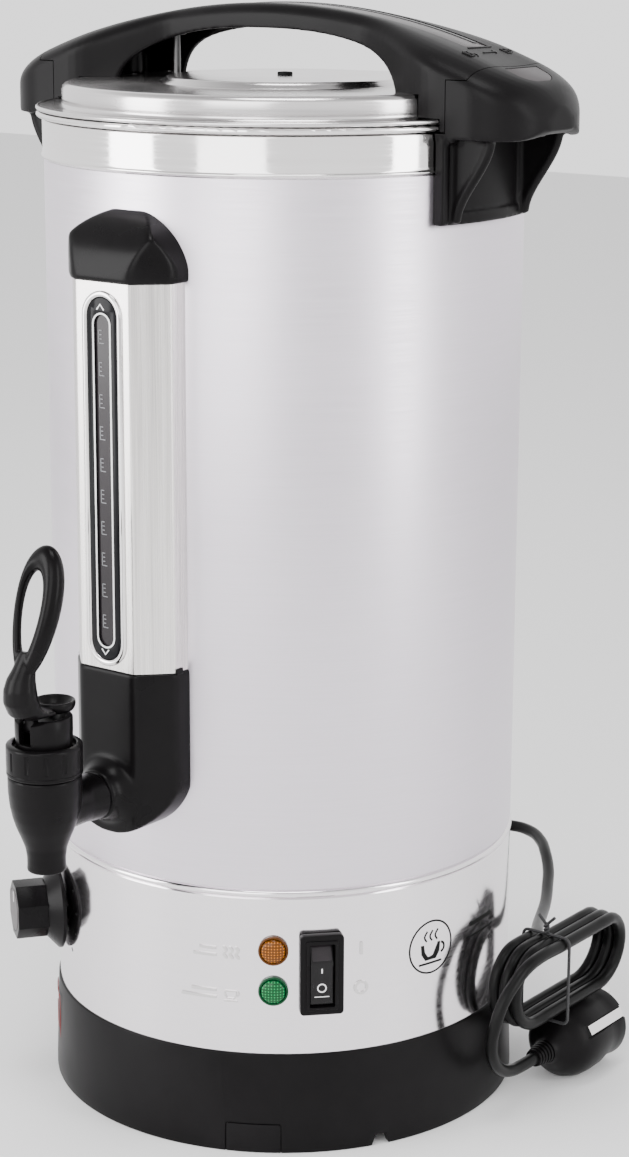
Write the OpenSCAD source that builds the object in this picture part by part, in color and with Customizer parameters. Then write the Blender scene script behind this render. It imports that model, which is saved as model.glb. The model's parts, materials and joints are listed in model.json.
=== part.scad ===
// Electric hot drinks urn with a draw-off tap, a sight gauge and a locking lid.
// Z is up. The origin is on the body's axis, in the plane that the base stands on.
// The tap points along -Y, and the side handles and the lid's arch lie along X.

/* [Body] */
// Outer radius of the steel body
shell_r = 110; // [108:1:112]
// Height of the plastic base
base_h = 48.3; // [46:0.1:50]
// Height of the rolled bead between the lower housing and the upper shell
bead_z = 126.8; // [125:0.1:128]
// Height at which the polished rim band begins
band_z = 443.6; // [442:0.1:445]
// Height of the tank's rolled rim
rim_z = 463.4; // [463:0.1:463.8]
// Thickness of the sheet steel
sheet = 1; // [0.8:0.1:1]

/* [Tank] */
// Inner radius of the tank
tank_r = 101; // [101:0.1:101.2]
// Height of the tank's floor, underneath
tank_floor_z = 131; // [130.8:0.1:131.2]

/* [Lid and arch] */
// Height of the lid's flat shoulder
lid_top_z = 477; // [476.5:0.1:477]
// Height of the raised disc in the middle of the lid
lid_disc_z = 480; // [479.5:0.1:480.5]
// Height of the arch's crown
arch_top_z = 512.5; // [512:0.1:513]
// Radius of the long curve along the arch's top
arch_curve_r = 340; // [335:5:345]
// Half width of the arch at the grip
grip_half_w = 16; // [15:0.5:17]
// Half width of the arch and the side handles where they meet
handle_half_w = 34; // [33:0.5:35]
// Distance from the axis to the tip of a side handle
handle_reach = 148; // [146:1:150]

/* [Sight gauge] */
// Half width of the column's front flat
column_flat = 15.5; // [15:0.5:16]
// Half width of the column
column_half_w = 28; // [27:0.5:29]
// Distance from the axis to the column's front
column_front = 128; // [127:0.5:129]
// Height of the column's foot, where the lower box begins
column_z = 228; // [227:0.5:229]
// Height of the column's top, where the cap begins
cap_z = 399; // [398:0.5:400]

/* [Tap] */
// Distance from the axis to the tap's own axis
tap_reach = 170; // [169:0.5:171]
// Height of the pipe between the column and the tap
pipe_z = 172; // [171:0.5:173]
// Radius of the outlet's bore
outlet_r = 6; // [5:0.5:6]

/* [Controls] */
// Direction of the two lamps, in degrees from the tap
lamp_az = 35; // [34:0.5:36]
// Direction of the switch, in degrees from the tap
switch_az = 46.2; // [45:0.1:48]
// Direction of the thermostat's knob, in degrees from the tap
knob_az = -37.5; // [-40:0.5:-35]

/* [Mains lead] */
// Diameter of the lead
cord_d = 6; // [6:0.1:6.2]

/* [Hidden] */
$fn = 96;

// Colours
steel = [0.78, 0.77, 0.78];
bright_steel = [0.86, 0.85, 0.86];
black = [0.09, 0.09, 0.1];
soft_black = [0.13, 0.13, 0.13];
grey = [0.4, 0.39, 0.41];
brass = [0.78, 0.62, 0.3];
silicone = [0.8, 0.78, 0.74];

// Body
base_r = shell_r + 2.3;
housing_top_z = bead_z - 3.4;
foot_r = 90;
screw_r = 103.5;
band_r = shell_r + 0.6;

// Lid
rim_bead_r = 1.4;
rim_edge_r = shell_r + 1.9;
gasket_z = rim_z + rim_bead_r + 0.1;
flange_z = rim_z + 2.2;
shoulder_r = 101.5;
disc_r = 56;
foot_seam_r = 116;
tongue_seam_r = 125;
tongue_z = 484;
seam_gap = 0.4;
arch_wall = 3;
opening_half_l = 80;
opening_z = 470;
opening_h = 31.5;
bolt_inner_x = 64;
bolt_outer_x = 91;
bolt_places = [-bolt_outer_x, -bolt_inner_x, bolt_inner_x, bolt_outer_x];
bolt_outer_top_z = 494.5;
bolt_inner_top_z = 499;
liner_r = 97.4;
inlay_half_l = 104;
inlay_half_w = 8;

// Side handles
handle_foot_z = 422;
wing_z = 459;
wing_corner_r = 27;
gusset_y = 27;
handle_screw_y = 14;
handle_screw_z = 434;

// Sight gauge
gauge_low_z = 240.7;
gauge_high_z = 384.3;
tube_y = -121.5;
tube_r = 4;
seal_r = 5;

// Tap
tap_y = -tap_reach;
bowl_top_z = 190.8;
bonnet_top_z = 205;
guide_r = 12.6;
guide_bore_r = 9.5;
guide_top_z = 217;
pivot_y = tap_y - 6.5;
pivot_z = 213;
pin_r = 1.6;
stem_r = 3;
lever_lean = 16;
lever_root_y = -186;
lever_root_z = 227;
lever_t = 8;
lever_under_z = 217.5;
loop_len = 68;

// Controls
control_z = 87.6;
amber_z = 98.6;
green_z = 79.2;
knob_z = 89;
lens_r = 6.75;

// Mains lead
cord_z = 74;
relief_end_y = 138;
plug_x = 125;
plug_r = 18.5;
plug_back_y = 58;
plug_face_y = 92;
pin_roll = 30;
hank_inner_x = 113.5;
hank_layers = 4;
hank_w = hank_layers * cord_d;
hank_x = hank_inner_x + hank_w / 2;
tie_at_y = 36;
fold_r = 3 * cord_d;
hank_low_z = 2 * plug_r + 0.2;
hank_mid_z = hank_low_z + fold_r + cord_d / 2;
hank_front_y = 29;
hank_back_y = 83;

// Height of the curve along the arch's top
function bolt_top(x) = abs(x) > 70 ? bolt_outer_top_z : bolt_inner_top_z;

function top_z(x) = arch_top_z - arch_curve_r + sqrt(arch_curve_r * arch_curve_r - x * x);

// Half width of the arch, which flares from the grip to the side handles
function flare(x) = min(1, max(0, (abs(x) - 50) / 56));
function arch_half_w(x) =
    grip_half_w + (handle_half_w - grip_half_w) * (1 - cos(180 * flare(x))) / 2;

// Outline of the tap lever's loop, from its root (0) to its top (1); its right side is the thicker
function loop_half_w(t, swell) =
    (5 + swell * pow(sin(180 * pow(t, 1.25)), 1.2)) * sqrt(1 - pow(t, 14));
loop_outline = concat(
    [for (i = [0:40]) [loop_half_w(i / 40, 9.6), loop_len * i / 40]],
    [for (i = [39:-1:0]) [-loop_half_w(i / 40, 4), loop_len * i / 40]]
);
loop_hole = [for (a = [0:9:351]) [5.9 * sin(a) * (1 - 0.3 * cos(a)) - 0.3, 37.4 - 18.6 * cos(a)]];

// The free lead from the strain relief to the hank
lead_route = [
    [0, 138, 74], [0, 146, 74], [3, 157, 74.5], [11, 166, 75.5], [23, 170, 76.5],
    [36, 168, 77], [48, 160, 76.5], [58, 149, 75], [68, 136, 72], [77, 121, 69.5],
    [86, 105, 68], [94, 89, 68.5], [102, 73, 70.5], [108, 62, 72.5], [113.5, 52, 74.5]
];
// The free lead from the hank's upper run back to the plug
tail_route = [
    [134.5, 18, 76.2], [134, 10, 74], [133, 3, 69.5], [131.5, -4, 62],
    [130, -8, 52], [128, -8, 42], [126.5, -4, 32], [125.5, 4, 24], [125, 14, 19.5],
    [125, 24, 18.5], [125, 34, 18.5]
];

// Local +Z points outwards at a direction counted from the tap, and local +Y points up
module radial(az, z) {
    rotate([0, 0, az]) translate([0, 0, z]) rotate([90, 0, 0]) children();
}

// Local +Z points along the row's -Y, and local +Y points up
module frontwards() {
    rotate([90, 0, 0]) children();
}

module ring(r_out, r_in, z0, z1) {
    translate([0, 0, z0]) difference() {
        cylinder(r = r_out, h = z1 - z0);
        translate([0, 0, -1]) cylinder(r = r_in, h = z1 - z0 + 2);
    }
}

module rod_x(r, x0, x1) {
    translate([x0, 0, 0]) rotate([0, 90, 0]) cylinder(r = r, h = x1 - x0, $fn = 32);
}

module rod_y(r, y0, y1) {
    translate([0, y0, 0]) rotate([-90, 0, 0]) cylinder(r = r, h = y1 - y0, $fn = 48);
}

module mirrored_x() {
    children();
    mirror([1, 0, 0]) children();
}

// ---------------------------------------------------------------- base and body

module base_skirt() {
    color(black) difference() {
        union() {
            rotate_extrude($fn = 180) polygon([
                [shell_r - 1.6, 0], [shell_r - 2.6, 46], [shell_r - 3.8, 48],
                [shell_r - 3.8, 54], [shell_r - 1.3, 54], [shell_r - 1.3, base_h],
                [shell_r + 0.8, base_h], [base_r, 5], [base_r - 0.4, 0]
            ]);
            for (az = [45:90:315])
                rotate([0, 0, az]) translate([0, -screw_r, 4.6]) cylinder(r = 5.2, h = 18);
        }
        for (az = [45:90:315])
            rotate([0, 0, az]) translate([0, -screw_r, 4]) cylinder(r = 1.6, h = 14);
        base_notch();
        base_tab_groove();
    }
}

// The cable notch in the base's lower edge
module base_notch() {
    radial(61, 0) translate([0, 0, 100]) linear_extrude(20)
        polygon([[-4.8, -1], [4.8, -1], [2.6, 5.6], [-2.6, 5.6]]);
}

// The outline of the snap tab that is moulded into the base
module base_tab_groove() {
    tab_half_w = 12.8;
    tab_h = 14.3;
    groove = 0.6;
    rotate([0, 0, 30.3]) for (x = [-tab_half_w, tab_half_w])
        translate([x - groove / 2, -base_r - 1, -1]) cube([groove, 2.4, tab_h + 1]);
    rotate([0, 0, 30.3]) difference() {
        ring(base_r + 1, base_r - 1.1, tab_h - groove, tab_h);
        for (side = [-1, 1])
            translate([side * (tab_half_w + 150), 0, 0]) cube([300, 400, 60], center = true);
        translate([-150, 0, 0]) cube([300, 200, 60]);
    }
}

module base_plate() {
    color(grey) difference() {
        translate([0, 0, 3]) cylinder(r = shell_r - 2, h = 1.5, $fn = 180);
        for (az = [45:90:315])
            rotate([0, 0, az]) translate([0, -screw_r, 2]) cylinder(r = 1.7, h = 4);
        for (az = [0:45:315])
            rotate([0, 0, az]) translate([0, -60, 2]) cylinder(r = 3, h = 4);
    }
}

module rubber_feet() {
    color(soft_black) for (az = [45:90:315])
        rotate([0, 0, az]) translate([0, -foot_r, 0]) cylinder(r = 8, h = 3);
}

module base_screws() {
    color(steel) for (az = [45:90:315]) rotate([0, 0, az]) translate([0, -screw_r, 0]) {
        translate([0, 0, 1.2]) cylinder(r = 3.2, h = 1.8);
        translate([0, 0, 2.9]) cylinder(r = 1.5, h = 12);
    }
}

module lower_housing() {
    color(steel) difference() {
        union() {
            ring(shell_r, shell_r - sheet, base_h, housing_top_z + 0.1);
            rotate_extrude($fn = 180) difference() {
                union() {
                    translate([shell_r - 1.1, (bead_z + housing_top_z) / 2])
                        circle(r = 1.7, $fn = 32);
                    translate([shell_r - 2.6, housing_top_z - 4]) square([1.6, 14]);
                }
                translate([shell_r - 10, 0]) square([7.4, 200]);
            }
        }
        for (z = [amber_z, green_z])
            radial(lamp_az, z) translate([0, 0, 100]) cylinder(r = 5.3, h = 20);
        radial(switch_az, control_z) translate([-8.8, -18.8, 100]) cube([17.6, 37.6, 20]);
        radial(knob_az, knob_z) translate([0, 0, 100]) cylinder(r = 4.5, h = 20);
        radial(180, cord_z) translate([0, 0, 100]) cylinder(r = 6, h = 20);
    }
}

module outer_shell() {
    color(steel) difference() {
        ring(shell_r, shell_r - sheet, bead_z + 0.4, band_z - 0.2);
        translate([0, 0, pipe_z]) rod_y(8.3, -120, -100);
        for (side = [-1, 1], y = [-handle_screw_y, handle_screw_y])
            translate([side * 110, y, handle_screw_z]) rod_x(2.2, -10, 10);
    }
}

module rim_band() {
    color(bright_steel) rotate_extrude($fn = 180) polygon([
        [shell_r - 2.2, band_z - 6], [shell_r - 2.2, rim_z - 2], [band_r - 0.3, rim_z - 2],
        [band_r, rim_z - 2.6], [band_r - 0.1, band_z + 3.4], [band_r + 0.5, band_z + 2],
        [band_r + 0.5, band_z + 0.7], [band_r - 0.2, band_z], [shell_r - 1, band_z],
        [shell_r - 1, band_z - 6]
    ]);
}

module inner_tank() {
    color(bright_steel) difference() {
        rotate_extrude($fn = 180) {
            translate([tank_r, tank_floor_z + 6])
                square([sheet, rim_z + rim_bead_r - tank_floor_z - 6]);
            translate([0, tank_floor_z]) square([tank_r - 5, sheet]);
            translate([tank_r - 5, tank_floor_z + 6]) difference() {
                circle(r = 6);
                circle(r = 5);
                translate([-10, -10]) square([10, 20]);
                translate([-1, 0]) square([20, 20]);
            }
            translate([tank_r, rim_z + 0.2]) square([rim_edge_r - tank_r, rim_bead_r - 0.2]);
            translate([rim_edge_r, rim_z]) circle(r = rim_bead_r, $fn = 32);
        }
        translate([0, 0, pipe_z]) rod_y(8.1, -110, -90);
    }
}

// ---------------------------------------------------------------- heating and controls

module heater_plate() {
    color(steel) translate([0, 0, 126]) cylinder(r = 80, h = tank_floor_z - 126);
}

module heating_element() {
    color(grey) {
        rotate([0, 0, 100]) rotate_extrude(angle = 340) translate([62, 122])
            circle(r = 4, $fn = 32);
        for (az = [100, 80])
            rotate([0, 0, az]) translate([62, 0, 112]) cylinder(r = 2.4, h = 7);
    }
}

module thermal_cutouts() {
    color(soft_black) for (x = [-24, 24]) {
        translate([x, 0, 119]) cylinder(r = 8, h = 7);
        translate([x, 0, 114]) cylinder(r = 5, h = 5.1);
    }
}

module thermostat_body() {
    color(grey) difference() {
        radial(knob_az, knob_z) {
            translate([-16, -17, 72]) cube([32, 34, 26]);
            translate([0, 0, 97.9]) cylinder(r = 5, h = 6);
        }
        radial(knob_az, knob_z) translate([0, 0, 84]) cylinder(r = 3.06, h = 30);
    }
}

// The capillary tube runs under the heating element to the bulb below the tank
module thermostat_bulb() {
    tube_out = 80;
    tube_in = 42;
    tube_level = 113;
    color(brass) {
        rotate([0, 0, knob_az]) translate([0, -tube_out, 105.9])
            cylinder(r = 1, h = tube_level - 105.9, $fn = 24);
        radial(knob_az, tube_level) translate([0, 0, tube_in])
            cylinder(r = 1, h = tube_out - tube_in, $fn = 24);
        for (reach = [tube_in, tube_out])
            radial(knob_az, tube_level) translate([0, 0, reach]) sphere(r = 1, $fn = 24);
        rotate([0, 0, knob_az]) translate([0, -tube_in, tube_level])
            cylinder(r = 1, h = 7, $fn = 24);
        radial(knob_az, 122.3) translate([0, 0, 30]) cylinder(r = 3.5, h = 18);
    }
}

module terminal_block() {
    color(silicone) difference() {
        translate([-24, 50, 4.5]) cube([48, 18, 16]);
        for (x = [-16, 0, 16]) translate([x, 59, 12]) cylinder(r = 2.5, h = 20);
    }
}

// The wires between the terminal block and the cut-outs, and the lead's inner end
module wiring() {
    wire_r = 1.5;
    inner_lead();
    color(brass) for (x = [-24, 24]) {
        translate([x * 0.75, 59, 20.5]) cylinder(r = wire_r, h = 79.5, $fn = 24);
        translate([x * 0.75, 59, 100]) sphere(r = wire_r, $fn = 24);
        translate([x, 59, 100]) rod_y(wire_r, -59, 0);
        translate([min(x, x * 0.75), 59, 100]) rod_x(wire_r, 0, 6);
        translate([x, 0, 98.5]) cylinder(r = wire_r, h = 15.5, $fn = 24);
    }
}

// The mains lead's inner end, from the strain relief down to the terminal block
module inner_lead() {
    bend_y = 90;
    color(black) {
        translate([0, 0, cord_z]) rod_y(3, bend_y, 103.8);
        translate([0, bend_y, 14]) cylinder(r = 3, h = cord_z - 14, $fn = 48);
        translate([0, 0, 14]) rod_y(3, 68.1, bend_y);
        for (z = [14, cord_z]) translate([0, bend_y, z]) sphere(r = 3, $fn = 48);
    }
}

module lens(z, colour) {
    color(colour) radial(lamp_az, z) {
        translate([0, 0, 104]) cylinder(r = 5, h = 6.6);
        translate([0, 0, 110.5]) cylinder(r = lens_r, h = 1.3);
        translate([0, 0, 111.8]) rotate_extrude() intersection() {
            translate([0, -9.5]) circle(r = 11.4, $fn = 96);
            square([lens_r - 0.7, 4]);
        }
    }
}

module amber_lens() {
    lens(amber_z, [0.85, 0.5, 0.05]);
}

module green_lens() {
    lens(green_z, [0.02, 0.6, 0.3]);
}

module lamp_bodies() {
    color(soft_black) for (z = [amber_z, green_z]) radial(lamp_az, z) {
        translate([0, 0, 86]) cylinder(r = 5.2, h = 18);
        for (x = [-2.5, 2.5]) translate([x - 0.4, -1.5, 79]) cube([0.8, 3, 7.1]);
    }
}

module rounded_plate(w, h, r, t) {
    linear_extrude(t) difference() {
        square([w, h], center = true);
        for (sx = [-1, 1], sy = [-1, 1]) translate([sx * (w / 2 - r), sy * (h / 2 - r)])
            difference() {
                translate([sx * r / 2, sy * r / 2]) square([r + 0.1, r + 0.1], center = true);
                circle(r = r, $fn = 32);
            }
    }
}

module switch_frame() {
    color(black) radial(switch_az, control_z) difference() {
        union() {
            translate([0, 0, shell_r + 0.05]) rounded_plate(20, 41, 1.6, 4.75);
            translate([-8.5, -18.5, 101]) cube([17, 37, 9.2]);
        }
        translate([-6.2, -15.5, 100]) cube([12.4, 31, 16]);
    }
}

module switch_body() {
    color(soft_black) radial(switch_az, control_z) {
        translate([-8.5, -18.5, 84]) cube([17, 37, 16.9]);
        for (y = [-10, 10]) translate([-3, y, 77]) cube([6, 0.8, 7.1]);
    }
}

// The rocker's upper third slopes inwards, and its lower part is flat. It turns on two stub pins.
module switch_rocker() {
    color(black) radial(switch_az, control_z) rotate([0, 90, 0]) {
        translate([0, 0, -5.6]) linear_extrude(11.2) polygon([
            [-104.4, -13], [-104.4, 13], [-109.4, 14.6], [-113.8, 5.6], [-113.4, -14.6],
            [-109.4, -14.8]
        ]);
        translate([-109.4, 0, -6.1]) cylinder(r = 1.2, h = 12.2);
    }
}

module thermostat_knob() {
    color(black) difference() {
        radial(knob_az, knob_z) {
            translate([0, 0, 111.4]) cylinder(r = 20, h = 1.8);
            translate([0, 0, 113.2]) rotate_extrude()
                polygon([[0, 0], [20, 0], [13.4, 6], [0, 6]]);
            translate([0, 0, 119.1]) rotate([0, 0, 22.5]) cylinder(r = 14.1, h = 14.4, $fn = 8);
        }
        radial(knob_az, knob_z) {
            translate([0, 0, 100]) cylinder(r = 3.1, h = 26);
            translate([0, 0, 132.9]) cylinder(r = 10.4, h = 5);
        }
    }
}

module knob_inset() {
    color(grey) radial(knob_az, knob_z) translate([0, 0, 132.9]) cylinder(r = 10.3, h = 0.8);
}

module thermostat_shaft() {
    color(steel) radial(knob_az, knob_z) translate([0, 0, 85]) cylinder(r = 3, h = 40.9);
}

// ---------------------------------------------------------------- sight gauge

// Half octagon that stands on the body, grown by a margin
module column_outline(grow) {
    flat = column_flat + grow * 0.414;
    half = column_half_w + grow;
    front = column_front + grow;
    shoulder = front - (half - flat);
    polygon([
        [-half, -90], [-half, -shoulder], [-flat, -front], [flat, -front],
        [half, -shoulder], [half, -90]
    ]);
}

module off_body(r) {
    difference() {
        children();
        cylinder(r = r, h = 600, $fn = 180);
    }
}

// A slot with round ends in the XZ plane, from y0 towards -Y
module gauge_slot(r, z0, z1, y0, depth) {
    translate([0, y0, 0]) frontwards() linear_extrude(depth) {
        translate([0, z0]) circle(r = r, $fn = 64);
        translate([0, z1]) circle(r = r, $fn = 64);
        translate([-r, z0]) square([2 * r, z1 - z0]);
    }
}

module column_cover() {
    color(steel) off_body(shell_r + 0.1) difference() {
        translate([0, 0, column_z]) linear_extrude(cap_z - column_z) difference() {
            column_outline(0);
            column_outline(-sheet);
        }
        gauge_slot(9.4, gauge_low_z, gauge_high_z, -110, 30);
    }
}

// The domed cap's outer shape, shrunk by a margin
module cap_shape(shrink) {
    intersection() {
        translate([0, 0, cap_z]) linear_extrude(40) column_outline(1.8 - shrink);
        translate([0, 0, cap_z + 0.5]) rod_y(30.6 - shrink, -140, -80);
        translate([0, -98, cap_z]) rod_x(32 - shrink, -40, 40);
    }
}

module column_cap() {
    color(black) off_body(shell_r + 0.1) difference() {
        cap_shape(0);
        translate([0, 0, -0.1]) cap_shape(2.2);
    }
}

// The lower box's outer shape: straight sides above a round bottom
module box_shape(shrink) {
    round_z = 182;
    intersection() {
        translate([0, 0, 140]) linear_extrude(column_z - 140) column_outline(0.8 - shrink);
        union() {
            translate([-40, -140, round_z]) cube([80, 60, 60]);
            translate([0, 0, round_z]) rod_y(30 - shrink, -140, -80);
        }
    }
}

module column_box() {
    color(black) off_body(shell_r + 0.1) difference() {
        union() {
            difference() {
                box_shape(0);
                translate([0, 0, 0.1]) box_shape(2.2);
            }
            translate([0, -126.6, pipe_z]) frontwards() rotate_extrude()
                polygon([[0, 0], [15.4, 0], [15.4, 1.8], [13, 3.6], [11.8, 6.6], [11.4, 11.2], [0, 11.2]]);
        }
        translate([0, 0, pipe_z]) rod_y(8.3, -150, -110);
    }
}

module gauge_bezel() {
    color(bright_steel) difference() {
        union() {
            gauge_slot(11.2, gauge_low_z, gauge_high_z, -column_front, 1.2);
            gauge_slot(9.3, gauge_low_z, gauge_high_z, -125.8, 2.3);
        }
        gauge_slot(8.2, gauge_low_z, gauge_high_z, -110, 30);
    }
}

module gauge_plate() {
    color(black) difference() {
        gauge_slot(8.1, gauge_low_z, gauge_high_z, -127.4, 1.2);
        gauge_slot(4.2, gauge_low_z + 2, gauge_high_z - 3.4, -110, 30);
    }
}

module sight_tube() {
    color([0.7, 0.75, 0.78, 0.4]) translate([0, tube_y, 0]) ring(tube_r, tube_r - 0.8, 219, 402);
}

module tube_seals() {
    color(silicone) translate([0, tube_y, 0]) {
        ring(seal_r, tube_r + 0.02, 400, 406);
        ring(seal_r, tube_r + 0.02, 218, 226);
    }
}

module outlet_pipe() {
    color(bright_steel) difference() {
        union() {
            translate([0, 0, pipe_z]) rod_y(8, -148, -92);
            translate([0, tube_y, pipe_z]) cylinder(r = seal_r, h = 218 - pipe_z);
        }
        translate([0, 0, pipe_z]) rod_y(5.5, -160, -80);
        translate([0, tube_y, pipe_z]) cylinder(r = 3.2, h = 60);
    }
}

module tank_nut() {
    color(brass) translate([0, 0, pipe_z]) difference() {
        translate([0, -92.5, 0]) frontwards() cylinder(r = 13.5, h = 5.5, $fn = 6);
        rod_y(8.05, -110, -80);
    }
}

module tank_gasket() {
    color(silicone) intersection() {
        translate([0, 0, pipe_z]) difference() {
            rod_y(13, -104, -98);
            rod_y(8.05, -110, -80);
        }
        cylinder(r = tank_r - 0.05, h = 300, $fn = 180);
    }
}

// ---------------------------------------------------------------- tap

module tap_body() {
    color(soft_black) difference() {
        union() {
            translate([0, tap_y, 0]) rotate_extrude() polygon([
                [0, 146.5], [8.3, 146.5], [8.4, 153], [9.4, 158.5], [11.8, 164.5],
                [14.2, 171], [15.6, 178], [16.1, 185], [16.2, bowl_top_z], [0, bowl_top_z]
            ]);
            translate([0, 0, pipe_z]) rod_y(10.4, tap_y + 2, -138.2);
        }
        translate([0, tap_y, 140]) cylinder(r = outlet_r, h = 40);
        translate([0, tap_y, 163]) rotate_extrude()
            polygon([[0, 0], [outlet_r, 0], [10.8, 5], [12.4, 10], [13.3, 20], [13.4, 40], [0, 40]]);
        translate([0, 0, pipe_z]) rod_y(5.5, tap_y, -130);
        translate([0, 0, pipe_z]) rod_y(8.1, -148.2, -130);
    }
}

module tap_bonnet() {
    color(black) translate([0, tap_y, 0]) difference() {
        rotate_extrude() polygon([
            [guide_r + 0.1, bowl_top_z + 0.1], [16.3, bowl_top_z + 0.1],
            [16.6, bowl_top_z + 2], [16.6, bonnet_top_z - 1.4], [15.2, bonnet_top_z],
            [13.8, bonnet_top_z], [13.8, bonnet_top_z - 2.5],
            [guide_r + 0.1, bonnet_top_z - 2.5]
        ]);
        for (az = [0:30:330])
            rotate([0, 0, az]) translate([-0.8, -17.6, bowl_top_z + 1.6]) cube([1.6, 1.7, 10]);
    }
}

// The front slot clears the lever's hub, and the rim slopes where the lever tips over it
module tap_guide() {
    color(black) difference() {
        translate([0, tap_y, 0]) {
            ring(guide_r, guide_bore_r, 186, guide_top_z);
            ring(guide_bore_r + 0.5, stem_r + 0.3, 196, 199);
        }
        translate([-3.3, tap_y - 20, 206]) cube([6.6, 15, 20]);
        translate([0, pivot_y, pivot_z]) {
            rod_x(3.3, -6.3, 6.3);
            rotate([25, 0, 0]) translate([-20, -20, 4.2]) cube([40, 23, 20]);
            rod_x(pin_r + 0.02, -9.5, 9.5);
        }
    }
}

module tap_spring() {
    color(steel) translate([0, tap_y, 0]) ring(7.2, 4.4, 182.4, 195.8);
}

module tap_lever() {
    color(soft_black) difference() {
        union() {
            lever_loop();
            lever_foot();
            lever_fork();
        }
        translate([0, -162, 219]) cylinder(r = 5.4, h = 10);
        translate([0, pivot_y, pivot_z]) rod_x(pin_r + 0.06, -20, 20);
    }
}

// The finger loop leans back towards the urn
module lever_loop() {
    translate([0, lever_root_y, lever_root_z]) rotate([-lever_lean, 0, 0])
        translate([0, lever_t / 2, 0]) frontwards() linear_extrude(lever_t) difference() {
            polygon(loop_outline);
            polygon(loop_hole);
        }
}

module lever_foot() {
    hull() {
        translate([0, -184.4, 232]) sphere(r = 7.2, $fn = 32);
        translate([-6.5, -190, lever_under_z]) cube([13, 10, 4]);
    }
    hull() {
        translate([-8.4, -187, lever_under_z]) cube([16.8, 6, 3.4]);
        translate([0, -163, lever_under_z]) cylinder(r = 9.2, h = 3.8, $fn = 32);
    }
}

// The hub turns on the pin, and the two prongs lift the stem's collar
module lever_fork() {
    translate([0, pivot_y, pivot_z]) rod_x(2.8, -6, 6);
    translate([-2.9, pivot_y - 2.8, pivot_z]) cube([5.8, 3.3, 4.8]);
    for (x = [-5.6, 3.6]) translate([x, pivot_y, pivot_z - 2]) cube([2, 6.9, 2.4]);
}

module lever_pin() {
    color(steel) translate([0, pivot_y, pivot_z]) rod_x(pin_r, -9.4, 9.4);
}

module valve_stem() {
    color(steel) translate([0, tap_y, 0]) {
        translate([0, 0, 168]) cylinder(r = stem_r, h = 46.8);
        translate([0, 0, pivot_z + 0.9]) intersection() {
            cylinder(r = 4.6, h = 0.9);
            translate([-5, -3.4, 0]) cube([10, 9, 0.9]);
        }
        translate([0, 0, 180.2]) cylinder(r = 6.4, h = 2);
    }
}

module seat_cup() {
    color(silicone) translate([0, tap_y, 0]) rotate_extrude() polygon([
        [0, 164.9], [7.6, 164.9], [10.4, 168.2], [10.4, 180], [stem_r + 0.02, 180],
        [stem_r + 0.02, 167.9], [0, 167.9]
    ]);
}

// ---------------------------------------------------------------- lid and arch

module lid_gasket() {
    color(silicone) rotate_extrude($fn = 180) polygon([
        [liner_r + 0.4, gasket_z - 5.4], [tank_r - 0.4, gasket_z - 5.4], [tank_r - 0.4, gasket_z],
        [tank_r + 3, gasket_z], [tank_r + 3, flange_z - 0.1], [liner_r + 0.4, flange_z - 0.1]
    ]);
}

module lid_pan() {
    disc_z = lid_disc_z;
    top_z = lid_top_z;
    color(bright_steel) difference() {
        union() {
            rotate_extrude($fn = 180) polygon([
                [2.6, disc_z], [disc_r - 2, disc_z], [disc_r + 2.5, top_z],
                [shoulder_r - 3, top_z], [shoulder_r - 0.9, top_z - 0.9],
                [shoulder_r, top_z - 3], [shoulder_r, flange_z + sheet],
                [rim_edge_r + 0.5, flange_z + sheet], [rim_edge_r + 0.5, flange_z],
                [shoulder_r - sheet, flange_z], [shoulder_r - sheet, top_z - 3.2],
                [shoulder_r - 3.2, top_z - sheet], [disc_r + 2.1, top_z - sheet],
                [disc_r - 2.4, disc_z - sheet], [2.6, disc_z - sheet]
            ]);
            rotate_extrude($fn = 180) translate([rim_edge_r + 0.5, flange_z + 0.6])
                circle(r = 1, $fn = 32);
        }
        for (x = bolt_places) translate([x, 0, 470]) cylinder(r = 2.2, h = 20);
    }
}

module lid_liner() {
    color(steel) rotate_extrude($fn = 180) polygon([
        [3, 461], [liner_r, 461], [liner_r, lid_top_z - sheet],
        [liner_r - 0.8, lid_top_z - sheet], [liner_r - 0.8, 461.8], [3, 461.8]
    ]);
}

module steam_vent() {
    color(black) rotate_extrude() polygon([
        [1, lid_disc_z - 3], [2.5, lid_disc_z - 3], [2.5, lid_disc_z], [3.3, lid_disc_z],
        [3.3, lid_disc_z + 0.9], [2.6, lid_disc_z + 1.6], [1, lid_disc_z + 1.6]
    ]);
}

// Extrudes an outline drawn in X and Z to both sides of the arch's middle plane
module upright(half_depth) {
    translate([0, half_depth, 0]) rotate([90, 0, 0]) linear_extrude(2 * half_depth) children();
}

// Outer shape of the arch, before its ends are cut, shrunk by a margin
module arch_envelope(shrink) {
    intersection() {
        upright(50) polygon(concat(
            [[-130, 461.6]], [for (x = [-130:5:130]) [x, top_z(x) - shrink]], [[130, 461.6]]
        ));
        translate([0, 0, 450]) linear_extrude(80) polygon(concat(
            [for (x = [-130:5:130]) [x, -arch_half_w(x) + shrink]],
            [for (x = [130:-5:-130]) [x, arch_half_w(x) - shrink]]
        ));
    }
}

// The arch stops at two cylinders about the body's axis, so that it can turn
module arch_ends() {
    cylinder(r = foot_seam_r, h = tongue_z + 0.1, $fn = 180);
    translate([0, 0, tongue_z]) cylinder(r = tongue_seam_r, h = 60, $fn = 180);
}

module finger_opening() {
    upright(60) polygon(concat(
        [[opening_half_l, 440]],
        [for (a = [0:6:180]) [
            opening_half_l * sign(cos(a)) * pow(abs(cos(a)), 0.83),
            opening_z + opening_h * pow(abs(sin(a)), 0.83)
        ]],
        [[-opening_half_l, 440]]
    ));
}

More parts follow.
